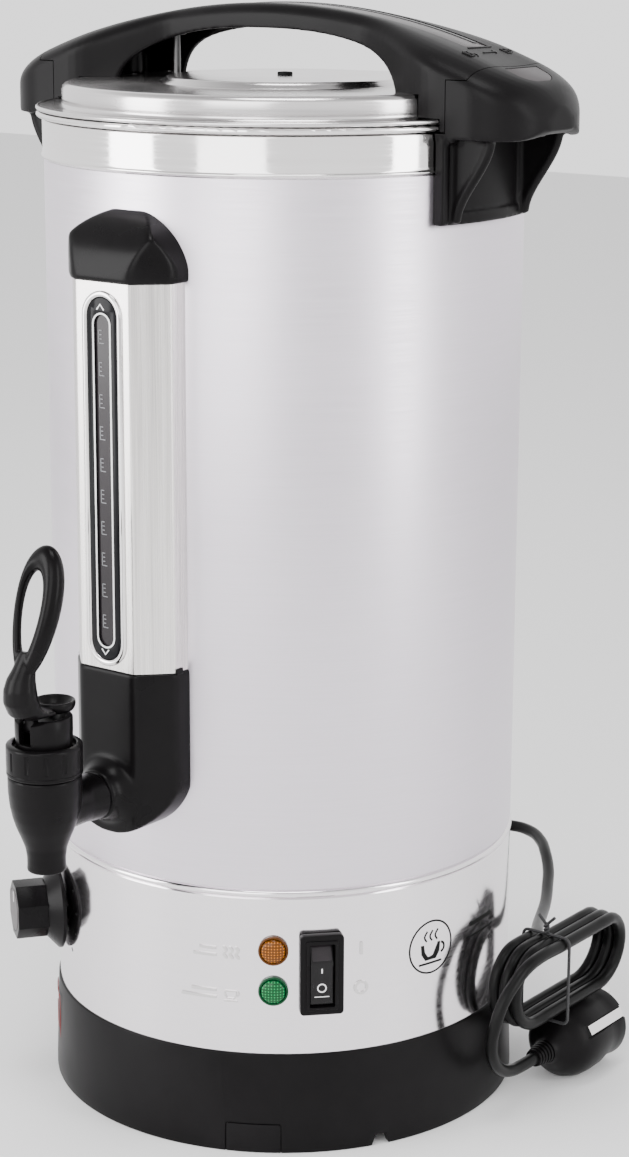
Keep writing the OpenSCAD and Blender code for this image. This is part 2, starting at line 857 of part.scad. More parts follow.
// A shallow band that follows the arch's top
module arch_top_band(from, to) {
    upright(inlay_half_w) polygon(concat(
        [for (x = [-inlay_half_l:4:inlay_half_l]) [x, top_z(x) - from]],
        [for (x = [inlay_half_l:-4:-inlay_half_l]) [x, top_z(x) - to]]
    ));
}

module arch_handle() {
    color(black) difference() {
        intersection() {
            union() {
                difference() {
                    arch_envelope(0);
                    intersection() {
                        arch_envelope(arch_wall);
                        cylinder(r = foot_seam_r - arch_wall, h = 600, $fn = 180);
                    }
                }
                for (x = bolt_places) translate([x, 0, abs(x) > 70 ? lid_top_z : 496])
                    cylinder(r = 5, h = top_z(x) - 1.8 - (abs(x) > 70 ? lid_top_z : 496));
            }
            arch_ends();
        }
        difference() {
            finger_opening();
            for (x = [-bolt_inner_x, bolt_inner_x]) translate([x, 0, 496]) cylinder(r = 5, h = 20);
        }
        translate([0, 0, 440]) cylinder(r = shoulder_r + 0.4, h = lid_top_z - 440, $fn = 180);
        translate([0, 0, 440]) cylinder(r = rim_edge_r + 1.8, h = 27.4, $fn = 180);
        for (x = bolt_places) translate([x, 0, 470]) cylinder(r = 1.9, h = bolt_top(x) - 469.5);
        arch_top_band(-1, 1.2);
    }
}

module arch_inlay() {
    color(grey) arch_top_band(0.3, 1.2);
}

module arch_bolts() {
    color(bright_steel) for (x = bolt_places) translate([x, 0, 0]) {
        translate([0, 0, lid_top_z - sheet - 3.4]) cylinder(r = 3.6, h = 3.4, $fn = 6);
        translate([0, 0, lid_top_z - sheet - 0.1]) cylinder(r = 1.85, h = bolt_top(x) - lid_top_z + 1);
    }
}

// ---------------------------------------------------------------- side handles

// Side view of a wing: the arch's curve goes on to a blunt tip
module wing_profile(drop, low_z) {
    polygon(concat(
        [[90, low_z], [90, top_z(90) - drop]],
        [for (x = [95:5:135]) [x, top_z(x) - drop]],
        [
            [handle_reach - 7, top_z(handle_reach - 7) - 1.2 - drop], [handle_reach, 472 - drop],
            [handle_reach, wing_z + 5], [handle_reach - 4, wing_z], [handle_reach - 4, low_z]
        ]
    ));
}

// Plan of a wing, with a rounded tip, shrunk by a margin
module wing_plan(shrink) {
    corner_x = handle_reach - wing_corner_r;
    corner_y = handle_half_w - wing_corner_r;
    for (y = [-corner_y, corner_y]) translate([corner_x, y])
        circle(r = wing_corner_r - shrink);
    translate([60, shrink - handle_half_w])
        square([corner_x - 60, 2 * (handle_half_w - shrink)]);
    translate([60, -corner_y]) square([handle_reach - shrink - 60, 2 * corner_y]);
}

module wing(shrink, low_z) {
    intersection() {
        upright(50) wing_profile(shrink, low_z);
        translate([0, 0, 430]) linear_extrude(100) wing_plan(shrink);
    }
}

module inset_shape() {
    intersection() {
        upright(13) difference() {
            wing_profile(0, 440);
            wing_profile(0.9, 430);
        }
        translate([0, 0, 400]) linear_extrude(120)
            polygon([[127, -12], [127, 12], [135.5, 10], [138.5, 5], [138.5, -5], [135.5, -10]]);
    }
}

module side_handle() {
    inner_r = foot_seam_r + seam_gap;
    difference() {
        union() {
            difference() {
                wing(0, wing_z);
                difference() {
                    wing(arch_wall, 440);
                    cylinder(r = inner_r + arch_wall, h = 600, $fn = 180);
                }
            }
            intersection() {
                union() {
                    ring(shell_r + 4.6, shell_r + 0.1, handle_foot_z, wing_z + 2.2);
                    ring(inner_r + arch_wall, shell_r + 0.1, wing_z - 2, wing_z + 2.2);
                }
                translate([60, -handle_half_w, 400]) cube([100, 2 * handle_half_w, 100]);
            }
            for (y = [-gusset_y, gusset_y]) translate([0, y, 0]) upright(1.5) polygon([
                [109, 422], [112.6, 422], [115, 425.5], [118.8, 436], [121.2, 444],
                [124.4, 452], [124.4, 460], [109, 460]
            ]);
        }
        translate([0, 0, wing_z + 2.2]) cylinder(r = inner_r, h = tongue_z - 0.3 - wing_z - 2.2, $fn = 180);
        translate([0, 0, tongue_z - 0.4]) cylinder(r = tongue_seam_r + seam_gap, h = 60, $fn = 180);
        cylinder(r = shell_r + 0.1, h = 600, $fn = 180);
        translate([0, 0, band_z - 0.3]) cylinder(r = band_r + 0.8, h = 100, $fn = 180);
        for (y = [-handle_screw_y, handle_screw_y])
            translate([0, y, handle_screw_z]) rod_x(1.8, 100, 113.4);
        inset_shape();
    }
}

module side_handle_right() {
    color(black) side_handle();
}

module side_handle_left() {
    color(black) mirror([1, 0, 0]) side_handle();
}

module handle_insets() {
    color(grey) mirrored_x() inset_shape();
}

module handle_screws() {
    color(steel) mirrored_x() for (y = [-handle_screw_y, handle_screw_y])
        translate([0, y, handle_screw_z]) {
            rod_x(3.4, 105.2, 107.6);
            rod_x(1.7, 107.5, 112.2);
        }
}

// ---------------------------------------------------------------- mains lead

module strain_relief() {
    color(black) radial(180, cord_z) {
        translate([0, 0, 103.9]) cylinder(r = 9, h = 4.6, $fn = 6);
        translate([0, 0, 104]) cylinder(r = 5.8, h = 8);
        translate([0, 0, shell_r + 0.1]) cylinder(r = 10, h = 2.9);
        translate([0, 0, shell_r + 3]) cylinder(r1 = 6.6, r2 = 4.2, h = relief_end_y - shell_r - 3);
    }
}

function unit(v) = v / norm(v);
function tangent(route, i) =
    unit(route[min(i + 1, len(route) - 1)] - route[max(i - 1, 0)]);
function cord_ring(route, i, ref, sides) =
    let (t = tangent(route, i), side = unit(cross(ref, t)), up = cross(t, side))
    [for (j = [0:sides - 1]) route[i] + cord_d / 2
        * (cos(360 * j / sides) * side + sin(360 * j / sides) * up)];

// A tube along a route; ref is a direction that the route never points in
module cord(route, ref, sides = 10) {
    rings = len(route);
    points = [for (i = [0:rings - 1]) each cord_ring(route, i, ref, sides)];
    walls = [for (i = [0:rings - 2], j = [0:sides - 1]) let (k = (j + 1) % sides)
        [i * sides + j, (i + 1) * sides + j, (i + 1) * sides + k, i * sides + k]];
    near_cap = [for (j = [0:sides - 1]) j];
    far_cap = [for (j = [sides - 1:-1:0]) (rings - 1) * sides + j];
    polyhedron(points, concat(walls, [near_cap, far_cap]));
}

module cord_lead() {
    color(black) cord(lead_route, [0, 0, 1]);
}

module cord_tail() {
    color(black) cord(tail_route, [1, 0, 0]);
}

// Outer shape of the folded runs, which stand on edge along Y
module cord_hank() {
    color(soft_black) translate([hank_inner_x, 0, 0]) rotate([90, 0, 90])
        linear_extrude(hank_w) {
            for (y = [hank_front_y, hank_back_y]) translate([y, hank_mid_z])
                circle(r = fold_r + cord_d / 2);
            translate([hank_front_y, hank_low_z])
                square([hank_back_y - hank_front_y, 2 * fold_r + cord_d]);
        }
}

module cord_tie() {
    tie_w = hank_w + 0.3;
    tie_h = 2 * fold_r + cord_d + 0.3;
    color(grey) translate([hank_x, tie_at_y, hank_mid_z]) {
        difference() {
            cube([tie_w + 1.6, 4, tie_h + 1.2], center = true);
            cube([tie_w, 6, tie_h], center = true);
        }
        for (x = [-1.5, 1.5]) translate([x, 0, tie_h / 2 + 0.3]) rotate([0, 4 * x, 0])
            cylinder(r = 0.7, h = 9, $fn = 24);
    }
}

// Local +Z points along the row's +Y, and the pins lie along local Y
module at_plug() {
    translate([plug_x, 0, plug_r]) rotate([-90, 0, 0]) rotate([0, 0, -pin_roll]) children();
}

module mains_plug() {
    color(black) difference() {
        at_plug() {
            translate([0, 0, plug_back_y]) cylinder(r = plug_r, h = plug_face_y - plug_back_y);
            translate([0, 0, plug_back_y - 14]) cylinder(r1 = 6, r2 = plug_r - 1.5, h = 14);
            translate([0, 0, 34]) cylinder(r1 = 4.2, r2 = 6, h = 10.1);
        }
        at_plug() for (side = [-1, 1]) translate([side * 18.3, 0, 78])
            cube([4, 6.4, 40], center = true);
        at_plug() for (side = [-1, 1]) translate([0, side * 9.5, 86]) cylinder(r = 2.45, h = 20);
    }
}

module plug_contacts() {
    pin_len = 19;
    color(bright_steel) at_plug() {
        for (side = [-1, 1]) translate([0, side * 9.5, 86]) {
            cylinder(r = 2.4, h = plug_face_y - 86 + pin_len - 1);
            translate([0, 0, plug_face_y - 86 + pin_len - 1]) cylinder(r1 = 2.4, r2 = 1.6, h = 1);
        }
        for (side = [-1, 1]) translate([side * 16.9, 0, 76]) cube([1, 4.6, 30], center = true);
    }
}

base_skirt();
base_plate();
rubber_feet();
base_screws();
lower_housing();
outer_shell();
rim_band();
inner_tank();
heater_plate();
heating_element();
thermal_cutouts();
thermostat_body();
thermostat_bulb();
terminal_block();
wiring();
amber_lens();
green_lens();
lamp_bodies();
switch_frame();
switch_body();
switch_rocker();
thermostat_knob();
knob_inset();
thermostat_shaft();
column_cover();
column_cap();
column_box();
gauge_bezel();
gauge_plate();
sight_tube();
tube_seals();
outlet_pipe();
tank_nut();
tank_gasket();
tap_body();
tap_bonnet();
tap_guide();
tap_spring();
tap_lever();
lever_pin();
valve_stem();
seat_cup();
side_handle_right();
side_handle_left();
handle_insets();
handle_screws();
lid_gasket();
lid_pan();
lid_liner();
steam_vent();
arch_handle();
arch_inlay();
arch_bolts();
strain_relief();
cord_lead();
cord_hank();
cord_tail();
cord_tie();
mains_plug();
plug_contacts();
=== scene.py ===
import json
import math

import bmesh
import bpy
from mathutils import Matrix, Vector


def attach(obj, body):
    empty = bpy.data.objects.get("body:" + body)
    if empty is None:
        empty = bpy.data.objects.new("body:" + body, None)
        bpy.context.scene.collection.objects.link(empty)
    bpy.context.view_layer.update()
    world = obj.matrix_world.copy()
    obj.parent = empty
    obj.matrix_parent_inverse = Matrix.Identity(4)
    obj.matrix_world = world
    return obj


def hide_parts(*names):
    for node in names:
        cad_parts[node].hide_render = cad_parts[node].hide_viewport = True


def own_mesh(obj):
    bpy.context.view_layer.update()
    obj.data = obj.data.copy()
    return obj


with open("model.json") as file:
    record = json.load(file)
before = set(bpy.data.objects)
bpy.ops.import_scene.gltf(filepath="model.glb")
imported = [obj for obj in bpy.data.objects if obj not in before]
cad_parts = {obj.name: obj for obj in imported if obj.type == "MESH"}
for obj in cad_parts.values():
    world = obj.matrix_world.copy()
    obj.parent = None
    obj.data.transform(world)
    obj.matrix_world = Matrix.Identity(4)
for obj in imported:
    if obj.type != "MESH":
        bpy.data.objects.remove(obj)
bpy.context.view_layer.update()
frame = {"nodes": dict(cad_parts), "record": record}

# The looks of an electric hot drinks urn. Lengths are in millimetres in the row frame, and
# each piece's mesh is scaled to metres as it is made.
MM = 0.001

# Driving sizes, as on the CAD model
SHELL_R = 110.0
BASE_H = 48.3
BEAD_Z = 126.8
BAND_Z = 443.6
RIM_Z = 463.4
LID_TOP_Z = 477.0
LID_DISC_Z = 480.0
ARCH_TOP_Z = 512.5
ARCH_CURVE_R = 340.0
GRIP_HALF_W = 16.0
HANDLE_HALF_W = 34.0
HANDLE_REACH = 148.0
FOOT_SEAM_R = 116.0
TONGUE_SEAM_R = 125.0
TONGUE_Z = 484.0
SEAM_GAP = 0.4
WALL = 3.0
WING_Z = 459.0
LAMP_AZ = 35.0
SWITCH_AZ = 46.2
KNOB_AZ = -37.5
CONTROL_Z = 87.6
KNOB_Z = 89.0
LAMP_ZS = {"amber": 98.6, "green": 79.2}
TAP_Y = -170.0
PIVOT_Y = -176.5
PIVOT_Z = 213.0
PIPE_Z = 172.0
CORD_D = 6.0
PLUG_X = 125.0
PLUG_R = 18.5
LEAD_EXIT_Z = 74.0
OUTER_BOLT_X = 91.0
INNER_BOLT_X = 64.0
BOLT_XS = (-OUTER_BOLT_X, -INNER_BOLT_X, INNER_BOLT_X, OUTER_BOLT_X)
LABEL_AZ = 25.0
ON_OFF_AZ = 56.0
PRINT_AZ = 75.5
WARNING_AZ = -46.0


# ------------------------------------------------------------------ camera, floor and light

def place_camera():
    """The viewing angle: to the right of the tap, looking a little down."""
    camera = bpy.data.objects.new("camera", bpy.data.cameras.new("camera"))
    bpy.context.scene.collection.objects.link(camera)
    camera.data.sensor_fit = "VERTICAL"
    camera.data.sensor_height = 36.0
    camera.data.lens = 82.6
    heading, pitch, roll = 36.83, 14.15, 0.23
    camera.matrix_world = (
        Matrix.Translation((0.7475, -0.9742, 0.5532))
        @ Matrix.Rotation(math.radians(heading), 4, "Z")
        @ Matrix.Rotation(math.radians(90 - pitch), 4, "X")
        @ Matrix.Rotation(math.radians(roll), 4, "Z")
    )
    bpy.context.scene.camera = camera


def area_light(name, place, target, size, power):
    light = bpy.data.lights.new(name, "AREA")
    light.shape = "RECTANGLE"
    light.size, light.size_y = size
    light.energy = power
    lamp = bpy.data.objects.new(name, light)
    bpy.context.scene.collection.objects.link(lamp)
    lamp.location = place
    lamp.rotation_euler = (Vector(target) - Vector(place)).to_track_quat("-Z", "Y").to_euler()


def set_stage():
    """A pale floor, a soft white room that darkens towards its ceiling, and large soft lights."""
    bpy.ops.mesh.primitive_plane_add(size=8, location=(0, 0, 0))
    floor = bpy.context.object
    floor.name = "floor"
    look, _, shader = plain_shader("floor_paint", (0.97, 0.97, 0.97), 0.6)
    shader.inputs["Specular IOR Level"].default_value = 0.2
    floor.data.materials.append(look)

    world = bpy.data.worlds.new("room")
    world.use_nodes = True
    bpy.context.scene.world = world
    tree = world.node_tree
    room = tree.nodes["Background"]
    room.inputs["Color"].default_value = (1.0, 0.995, 1.0, 1)
    place = add_node(tree, "ShaderNodeTexCoord")
    split = add_node(tree, "ShaderNodeSeparateXYZ")
    tree.links.new(place.outputs["Generated"], split.inputs["Vector"])
    fade = map_range(tree, split.outputs["Z"], (0.45, 0.95), (1.7, 0.5))
    tree.links.new(fade, room.inputs["Strength"])

    middle = (0, 0, 0.25)
    area_light("left_light", (-1.2, -1.6, 0.7), middle, (0.9, 1.5), 34)
    area_light("front_light", (0.5, -2.1, 1.1), middle, (1.3, 1.5), 22)
    area_light("right_light", (1.7, 0.1, 0.8), middle, (0.4, 1.4), 12)
    area_light("top_light", (0.2, -0.3, 1.9), middle, (0.7, 0.6), 12)


# ------------------------------------------------------------------ materials

def plain_shader(name, colour, roughness, metallic=0.0):
    look = bpy.data.materials.new(name)
    look.use_nodes = True
    shader = look.node_tree.nodes["Principled BSDF"]
    shader.inputs["Base Color"].default_value = (*colour, 1)
    shader.inputs["Roughness"].default_value = roughness
    shader.inputs["Metallic"].default_value = metallic
    return look, look.node_tree, shader


def add_node(tree, kind, **values):
    """Adds a node; values set its inputs by name, or its own settings."""
    made = tree.nodes.new(kind)
    for key, value in values.items():
        label = key.replace("_", " ").title()
        if label in made.inputs:
            made.inputs[label].default_value = value
        else:
            setattr(made, key, value)
    return made


def noise(tree, scale, detail=3.0, stretch=(1, 1, 1)):
    """Noise over the piece's own place, so that it doesn't depend on UVs."""
    place = add_node(tree, "ShaderNodeTexCoord")
    mapping = add_node(tree, "ShaderNodeMapping", scale=stretch)
    made = add_node(tree, "ShaderNodeTexNoise", scale=scale, detail=detail)
    tree.links.new(place.outputs["Object"], mapping.inputs["Vector"])
    tree.links.new(mapping.outputs["Vector"], made.inputs["Vector"])
    return made.outputs["Fac"]


def map_range(tree, source, given, wanted):
    made = add_node(
        tree, "ShaderNodeMapRange",
        from_min=given[0], from_max=given[1], to_min=wanted[0], to_max=wanted[1],
    )
    tree.links.new(source, made.inputs["Value"])
    return made.outputs["Result"]


def spread(tree, source, low, high):
    """Turns a noise's middle part into values from low to high."""
    return map_range(tree, source, (0.3, 0.7), (low, high))


def combine(tree, operation, first, second):
    """A maths node on another node's output and a second output or number."""
    made = add_node(tree, "ShaderNodeMath", operation=operation)
    tree.links.new(first, made.inputs[0])
    if isinstance(second, float):
        made.inputs[1].default_value = second
    else:
        tree.links.new(second, made.inputs[1])
    return made.outputs[0]


def tone(tree, source, dark, light):
    ramp = tree.nodes.new("ShaderNodeValToRGB")
    ramp.color_ramp.elements[0].position = 0.3
    ramp.color_ramp.elements[0].color = (*dark, 1)
    ramp.color_ramp.elements[1].position = 0.7
    ramp.color_ramp.elements[1].color = (*light, 1)
    tree.links.new(source, ramp.inputs["Fac"])
    return ramp.outputs["Color"]


def bump(tree, shader, source, strength, depth):
    made = add_node(tree, "ShaderNodeBump", strength=strength, distance=depth * MM)
    tree.links.new(source, made.inputs["Height"])
    tree.links.new(made.outputs["Normal"], shader.inputs["Normal"])


def metal(name, colour, roughness, grain=(1, 1, 1), grain_scale=900.0, contrast=0.03):
    """Sheet metal whose fine grain runs where the stretch is small."""
    look, tree, shader = plain_shader(name, colour, roughness, 1.0)
    lines = noise(tree, grain_scale, 2.0, grain)
    clouds = noise(tree, 9.0, 4.0)
    darker = tuple(c * (1 - contrast) for c in colour)
    lighter = tuple(min(1.0, c * (1 + contrast)) for c in colour)
    tree.links.new(tone(tree, lines, darker, lighter), shader.inputs["Base Color"])
    mixed = combine(
        tree, "ADD", spread(tree, lines, -0.04, 0.04),
        spread(tree, clouds, roughness - 0.02, roughness + 0.03),
    )
    tree.links.new(mixed, shader.inputs["Roughness"])
    bump(tree, shader, lines, 0.25, 0.004)
    return look


def plastic(name, colour, roughness, grain_depth=0.02, grain_scale=1400.0, sheen=0.5):
    """Moulded plastic: a fine spark grain, with faint scuffs in its sheen."""
    look, tree, shader = plain_shader(name, colour, roughness)
    shader.inputs["Specular IOR Level"].default_value = sheen
    fine = noise(tree, grain_scale, 2.0)
    clouds = noise(tree, 26.0, 5.0)
    lighter = tuple(c * 1.35 + 0.002 for c in colour)
    tree.links.new(tone(tree, clouds, colour, lighter), shader.inputs["Base Color"])
    tree.links.new(
        spread(tree, clouds, roughness - 0.03, roughness + 0.06), shader.inputs["Roughness"]
    )
    bump(tree, shader, fine, 0.35, grain_depth)
    return look


def streaked_metal(name, colour, roughness):
    """Sheet brushed along its height, with streaks of several widths."""
    look, tree, shader = plain_shader(name, colour, roughness, 1.0)
    fine = noise(tree, 1600.0, 2.0, UPRIGHT)
    broad = noise(tree, 260.0, 3.0, (1.0, 1.0, 0.006))
    both = combine(tree, "MULTIPLY", combine(tree, "ADD", fine, broad), 0.5)
    darker = tuple(c * 0.72 for c in colour)
    lighter = tuple(min(1.0, c * 1.1) for c in colour)
    tree.links.new(tone(tree, both, darker, lighter), shader.inputs["Base Color"])
    tree.links.new(
        spread(tree, both, roughness - 0.06, roughness + 0.08), shader.inputs["Roughness"]
    )
    bump(tree, shader, fine, 0.3, 0.006)
    return look


def lens_plastic(name, colour):
    """Clear coloured plastic over a moulded pattern of small pyramids, whose facets are painted lighter
    and darker as light and shade.
    """
    look, tree, shader = plain_shader(name, colour, 0.1)
    place = add_node(tree, "ShaderNodeTexCoord")
    level = add_node(tree, "ShaderNodeMapping")
    level.inputs["Rotation"].default_value = (0, 0, math.radians(-LAMP_AZ))
    tree.links.new(place.outputs["Object"], level.inputs["Vector"])
    ripples = []
    for direction in ("X", "Z"):
        wave = add_node(tree, "ShaderNodeTexWave", scale=230.0)
        wave.bands_direction = direction
        tree.links.new(level.outputs["Vector"], wave.inputs["Vector"])
        ripples.append(wave.outputs["Fac"])
    grid = combine(tree, "MULTIPLY", *ripples)
    # The grid's dark and light tones are painted shade and painted light on the pyramids' facets; the
    # bump gives their relief.
    dark = tuple(c * 0.3 for c in colour)
    light = tuple(min(1.0, c * 1.25 + 0.01) for c in colour)
    tree.links.new(tone(tree, grid, dark, light), shader.inputs["Base Color"])
    shader.inputs["Coat Weight"].default_value = 0.2
    shader.inputs["Coat Roughness"].default_value = 0.03
    shader.inputs["Specular IOR Level"].default_value = 0.15
    bump(tree, shader, grid, 0.5, 0.25)
    return look


def clear_glass():
    look, tree, shader = plain_shader("clear_tube", (0.86, 0.9, 0.91), 0.06)
    shader.inputs["Transmission Weight"].default_value = 0.9
    shader.inputs["IOR"].default_value = 1.45
    tree.links.new(spread(tree, noise(tree, 60.0), 0.04, 0.1), shader.inputs["Roughness"])
    return look


# How noise stretches, for a grain that runs round the body or up it
AROUND = (0.02, 0.02, 1.0)
UPRIGHT = (1.0, 1.0, 0.01)
LOOKS = {}


def mix_looks():
    """Makes every material, by name."""
    black = (0.0026, 0.0022, 0.0025)
    LOOKS.update({
        "brushed_shell": metal("satin_shell", (0.765, 0.715, 0.78), 0.38, AROUND, 1500, 0.02),
        "brushed_column": streaked_metal("brushed_column", (0.88, 0.85, 0.83), 0.25),
        "polished_steel": metal("polished_steel", (0.84, 0.82, 0.815), 0.1, AROUND, 900, 0.02),
        "plain_steel": metal("plain_steel", (0.60, 0.60, 0.61), 0.34, contrast=0.06),
        "zinc_steel": metal("zinc_steel", (0.55, 0.55, 0.56), 0.42, contrast=0.08),
        "brass": metal("turned_brass", (0.75, 0.56, 0.24), 0.28, AROUND, 900, 0.06),
        "black_plastic": plastic("black_plastic", black, 0.36, sheen=0.1),
        "soft_black": plastic("soft_black", black, 0.28, 0.008, sheen=0.1),
        "grey_plastic": plastic("grey_plastic", (0.05, 0.044, 0.046), 0.4, sheen=0.25),
        "dark_steel": metal("dark_steel", (0.10, 0.10, 0.10), 0.35, contrast=0.08),
        "gloss_black": plastic("gloss_black", (0.004, 0.004, 0.005), 0.12, 0.001, sheen=0.12),
        "amber_lens": lens_plastic("amber_lens", (0.34, 0.1, 0.0)),
        "amber_rim": plastic("amber_rim", (0.07, 0.022, 0.001), 0.15, 0.001, sheen=0.2),
        "green_lens": lens_plastic("green_lens", (0.0, 0.2, 0.05)),
        "green_rim": plastic("green_rim", (0.0, 0.04, 0.012), 0.15, 0.001, sheen=0.2),
        "white_plastic": plastic("white_plastic", (0.70, 0.69, 0.66), 0.45),
        "silicone": plastic("silicone", (0.62, 0.61, 0.58), 0.55, 0.01),
        "rubber": plastic("rubber", (0.006, 0.006, 0.006), 0.6, 0.03, sheen=0.1),
        "clear_tube": clear_glass(),
        "cord_jacket": plastic("cord_jacket", (0.003, 0.003, 0.003), 0.3, 0.01, 900, sheen=0.12),
        "copper_wire": metal("copper_wire", (0.72, 0.38, 0.22), 0.35, contrast=0.05),
        "mark_white": plastic("mark_white", (0.78, 0.78, 0.78), 0.5, 0.002),
        "mark_black": plastic("mark_black", (0.003, 0.003, 0.003), 0.45, 0.002, sheen=0.1),
        "mark_red": plastic("mark_red", (0.2, 0.008, 0.006), 0.5, 0.002, sheen=0.2),
        "lid_satin": metal("satin_lid", (0.70, 0.68, 0.68), 0.2, AROUND, 1100, 0.03),
        "inlay_brown": plastic("inlay_brown", (0.03, 0.024, 0.025), 0.28, 0.003, sheen=0.4),
        "smoked_glass": plastic("smoked_glass", (0.016, 0.013, 0.015), 0.1, 0.001, sheen=0.25),
        "tick_grey": plastic("tick_grey", (0.16, 0.16, 0.17), 0.5, 0.002),
        "tie_grey": plastic("tie_grey", (0.02, 0.02, 0.021), 0.45, 0.004, sheen=0.3),
        "rocker_black": plastic("rocker_black", (0.005, 0.0045, 0.005), 0.16, 0.002, sheen=0.22),
        "bright_housing": metal("bright_housing", (0.86, 0.825, 0.85), 0.13, AROUND, 1500, 0.015),
        # embossed_steel is the housing's own steel made darker and rougher: painted shade on the raised
        # marks, so that they read.
        "embossed_steel": metal("embossed_steel", (0.66, 0.64, 0.645), 0.2, contrast=0.02),
    })


# ------------------------------------------------------------------ mesh building

def moved(solid, matrix):
    points, faces = solid
    return [matrix @ Vector(p) for p in points], faces


def shifted(solid, x=0.0, y=0.0, z=0.0):
    return moved(solid, Matrix.Translation((x, y, z)))


def turned(solid, degrees, axis):
    return moved(solid, Matrix.Rotation(math.radians(degrees), 4, axis))


def together(*solids):
    points, faces = [], []
    for more_points, more_faces in solids:
        start = len(points)
        points += [Vector(p) for p in more_points]
        faces += [tuple(start + i for i in face) for face in more_faces]
    return points, faces


def radial(solid, az, z):
    """Local +Z points outwards at a direction counted from the tap, and local +Y up."""
    frame_matrix = (
        Matrix.Translation((0, 0, z))
        @ Matrix.Rotation(math.radians(az), 4, "Z")
        @ Matrix.Rotation(math.radians(90), 4, "X")
    )
    return moved(solid, frame_matrix)


def loft(rings, closed=False):
    """Skins rings that all have the same number of points, and caps the ends of an open row."""
    count = len(rings[0])
    points = [Vector(p) for ring in rings for p in ring]
    faces = []
    spans = len(rings) if closed else len(rings) - 1
    for i in range(spans):
        low, high = i * count, ((i + 1) % len(rings)) * count
        for j in range(count):
            k = (j + 1) % count
            faces.append((low + j, low + k, high + k, high + j))
    if not closed:
        faces.append(tuple(reversed(range(count))))
        last = (len(rings) - 1) * count
        faces.append(tuple(last + j for j in range(count)))
    return points, faces


def lathe(outline, segments=160):
    """Turns a closed outline of (radius, height) points about Z."""
    rings = []
    for i in range(segments):
        a = 2 * math.pi * i / segments
        rings.append([(r * math.cos(a), r * math.sin(a), z) for r, z in outline])
    return loft(rings, closed=True)


def turned_solid(outline, segments=96):
    """Turns an open outline that starts and ends on the axis, with the bottom first."""
    steps = [(max(r, 0.001), z) for r, z in outline]
    rings = []
    for r, z in steps:
        rings.append([
            (r * math.cos(2 * math.pi * i / segments), r * math.sin(2 * math.pi * i / segments), z)
            for i in range(segments)
        ])
    return loft(rings)


def prism(outline, low, high):
    """Extrudes a closed outline of (x, y) points along Z."""
    return loft([[(x, y, low) for x, y in outline], [(x, y, high) for x, y in outline]])


def cuboid(x, y, z):
    """A box given by its three (low, high) ranges."""
    return prism([(x[0], y[0]), (x[1], y[0]), (x[1], y[1]), (x[0], y[1])], *z)


def circle(r, segments=48, at=(0.0, 0.0)):
    return [
        (at[0] + r * math.cos(2 * math.pi * i / segments),
         at[1] + r * math.sin(2 * math.pi * i / segments))
        for i in range(segments)
    ]


def polar(r, degrees, at=(0.0, 0.0)):
    a = math.radians(degrees)
    return at[0] + r * math.cos(a), at[1] + r * math.sin(a)


def arc(centre, r, start, end, steps=8):
    """Points along an arc of an outline; the angles are in degrees."""
    return [polar(r, start + (end - start) * i / steps, centre) for i in range(steps + 1)]


def rounded_rect(w, h, r, steps=6):
    """A rectangle's outline with round corners, about the middle."""
    x, y = w / 2 - r, h / 2 - r
    return (
        arc((x, y), r, 0, 90, steps) + arc((-x, y), r, 90, 180, steps)
        + arc((-x, -y), r, 180, 270, steps) + arc((x, -y), r, 270, 360, steps)
    )


def stadium(r, low, high, steps=20):
    """A slot's outline with round ends at two heights."""
    return arc((0, high), r, 0, 180, steps) + arc((0, low), r, 180, 360, steps)


def tube(path, r, sides=16):
    """A round bar along a path of points."""
    path = [Vector(p) for p in path]
    rings = []
    side = None
    for i, point in enumerate(path):
        along = (path[min(i + 1, len(path) - 1)] - path[max(i - 1, 0)]).normalized()
        if side is None:
            side = along.orthogonal().normalized()
        side = (side - along * side.dot(along)).normalized()
        up = along.cross(side)
        rings.append([
            point + r * (math.cos(a) * side + math.sin(a) * up)
            for a in [2 * math.pi * j / sides for j in range(sides)]
        ])
    return loft(rings)


def bare_mesh(name, solid):
    """A mesh object in metres, with no material or body yet."""
    points, faces = solid
    mesh = bpy.data.meshes.new(name)
    mesh.from_pydata([Vector(p) * MM for p in points], [], faces)
    shape = bmesh.new()
    shape.from_mesh(mesh)
    bmesh.ops.recalc_face_normals(shape, faces=shape.faces)
    shape.to_mesh(mesh)
    shape.free()
    made = bpy.data.objects.new(name, mesh)
    bpy.context.scene.collection.objects.link(made)
    return made


def settle(piece):
    """Applies the modifiers, so that the mesh is final."""
    graph = bpy.context.evaluated_depsgraph_get()
    mesh = bpy.data.meshes.new_from_object(piece.evaluated_get(graph))
    piece.modifiers.clear()
    old = piece.data
    piece.data = mesh
    bpy.data.meshes.remove(old)


def carve_with(piece, cutter, keep=False):
    """Cuts another piece out of this one, and removes the other."""
    change = piece.modifiers.new("carve", "BOOLEAN")
    change.operation = "INTERSECT" if keep else "DIFFERENCE"
    change.solver = "EXACT"
    change.object = cutter
    settle(piece)
    bpy.data.objects.remove(cutter)


def carve(piece, solid, keep=False):
    """Cuts a solid out of a piece, or keeps only what is inside it."""
    carve_with(piece, bare_mesh("cutter", solid), keep)


def add_object(piece, other):
    """Joins another piece's solid to this one."""
    change = piece.modifiers.new("add", "BOOLEAN")
    change.operation = "UNION"
    change.solver = "EXACT"
    change.object = other
    settle(piece)
    bpy.data.objects.remove(other)


def add_solid(piece, solid):
    add_object(piece, bare_mesh("added", solid))


def soften(piece, width, segments=3, angle=35):
    """Rounds the piece's sharp edges."""
    change = piece.modifiers.new("soften", "BEVEL")
    change.width = width * MM
    change.segments = segments
    change.limit_method = "ANGLE"
    change.angle_limit = math.radians(angle)
    change.use_clamp_overlap = True
    settle(piece)


def melt(piece, voxel, rounds):
    """Joins overlapping solids into one skin with small fillets where they meet."""
    change = piece.modifiers.new("melt", "REMESH")
    change.mode = "VOXEL"
    change.voxel_size = voxel * MM
    change.use_smooth_shade = True
    smooth = piece.modifiers.new("smooth", "SMOOTH")
    smooth.factor = 0.5
    smooth.iterations = rounds
    settle(piece)


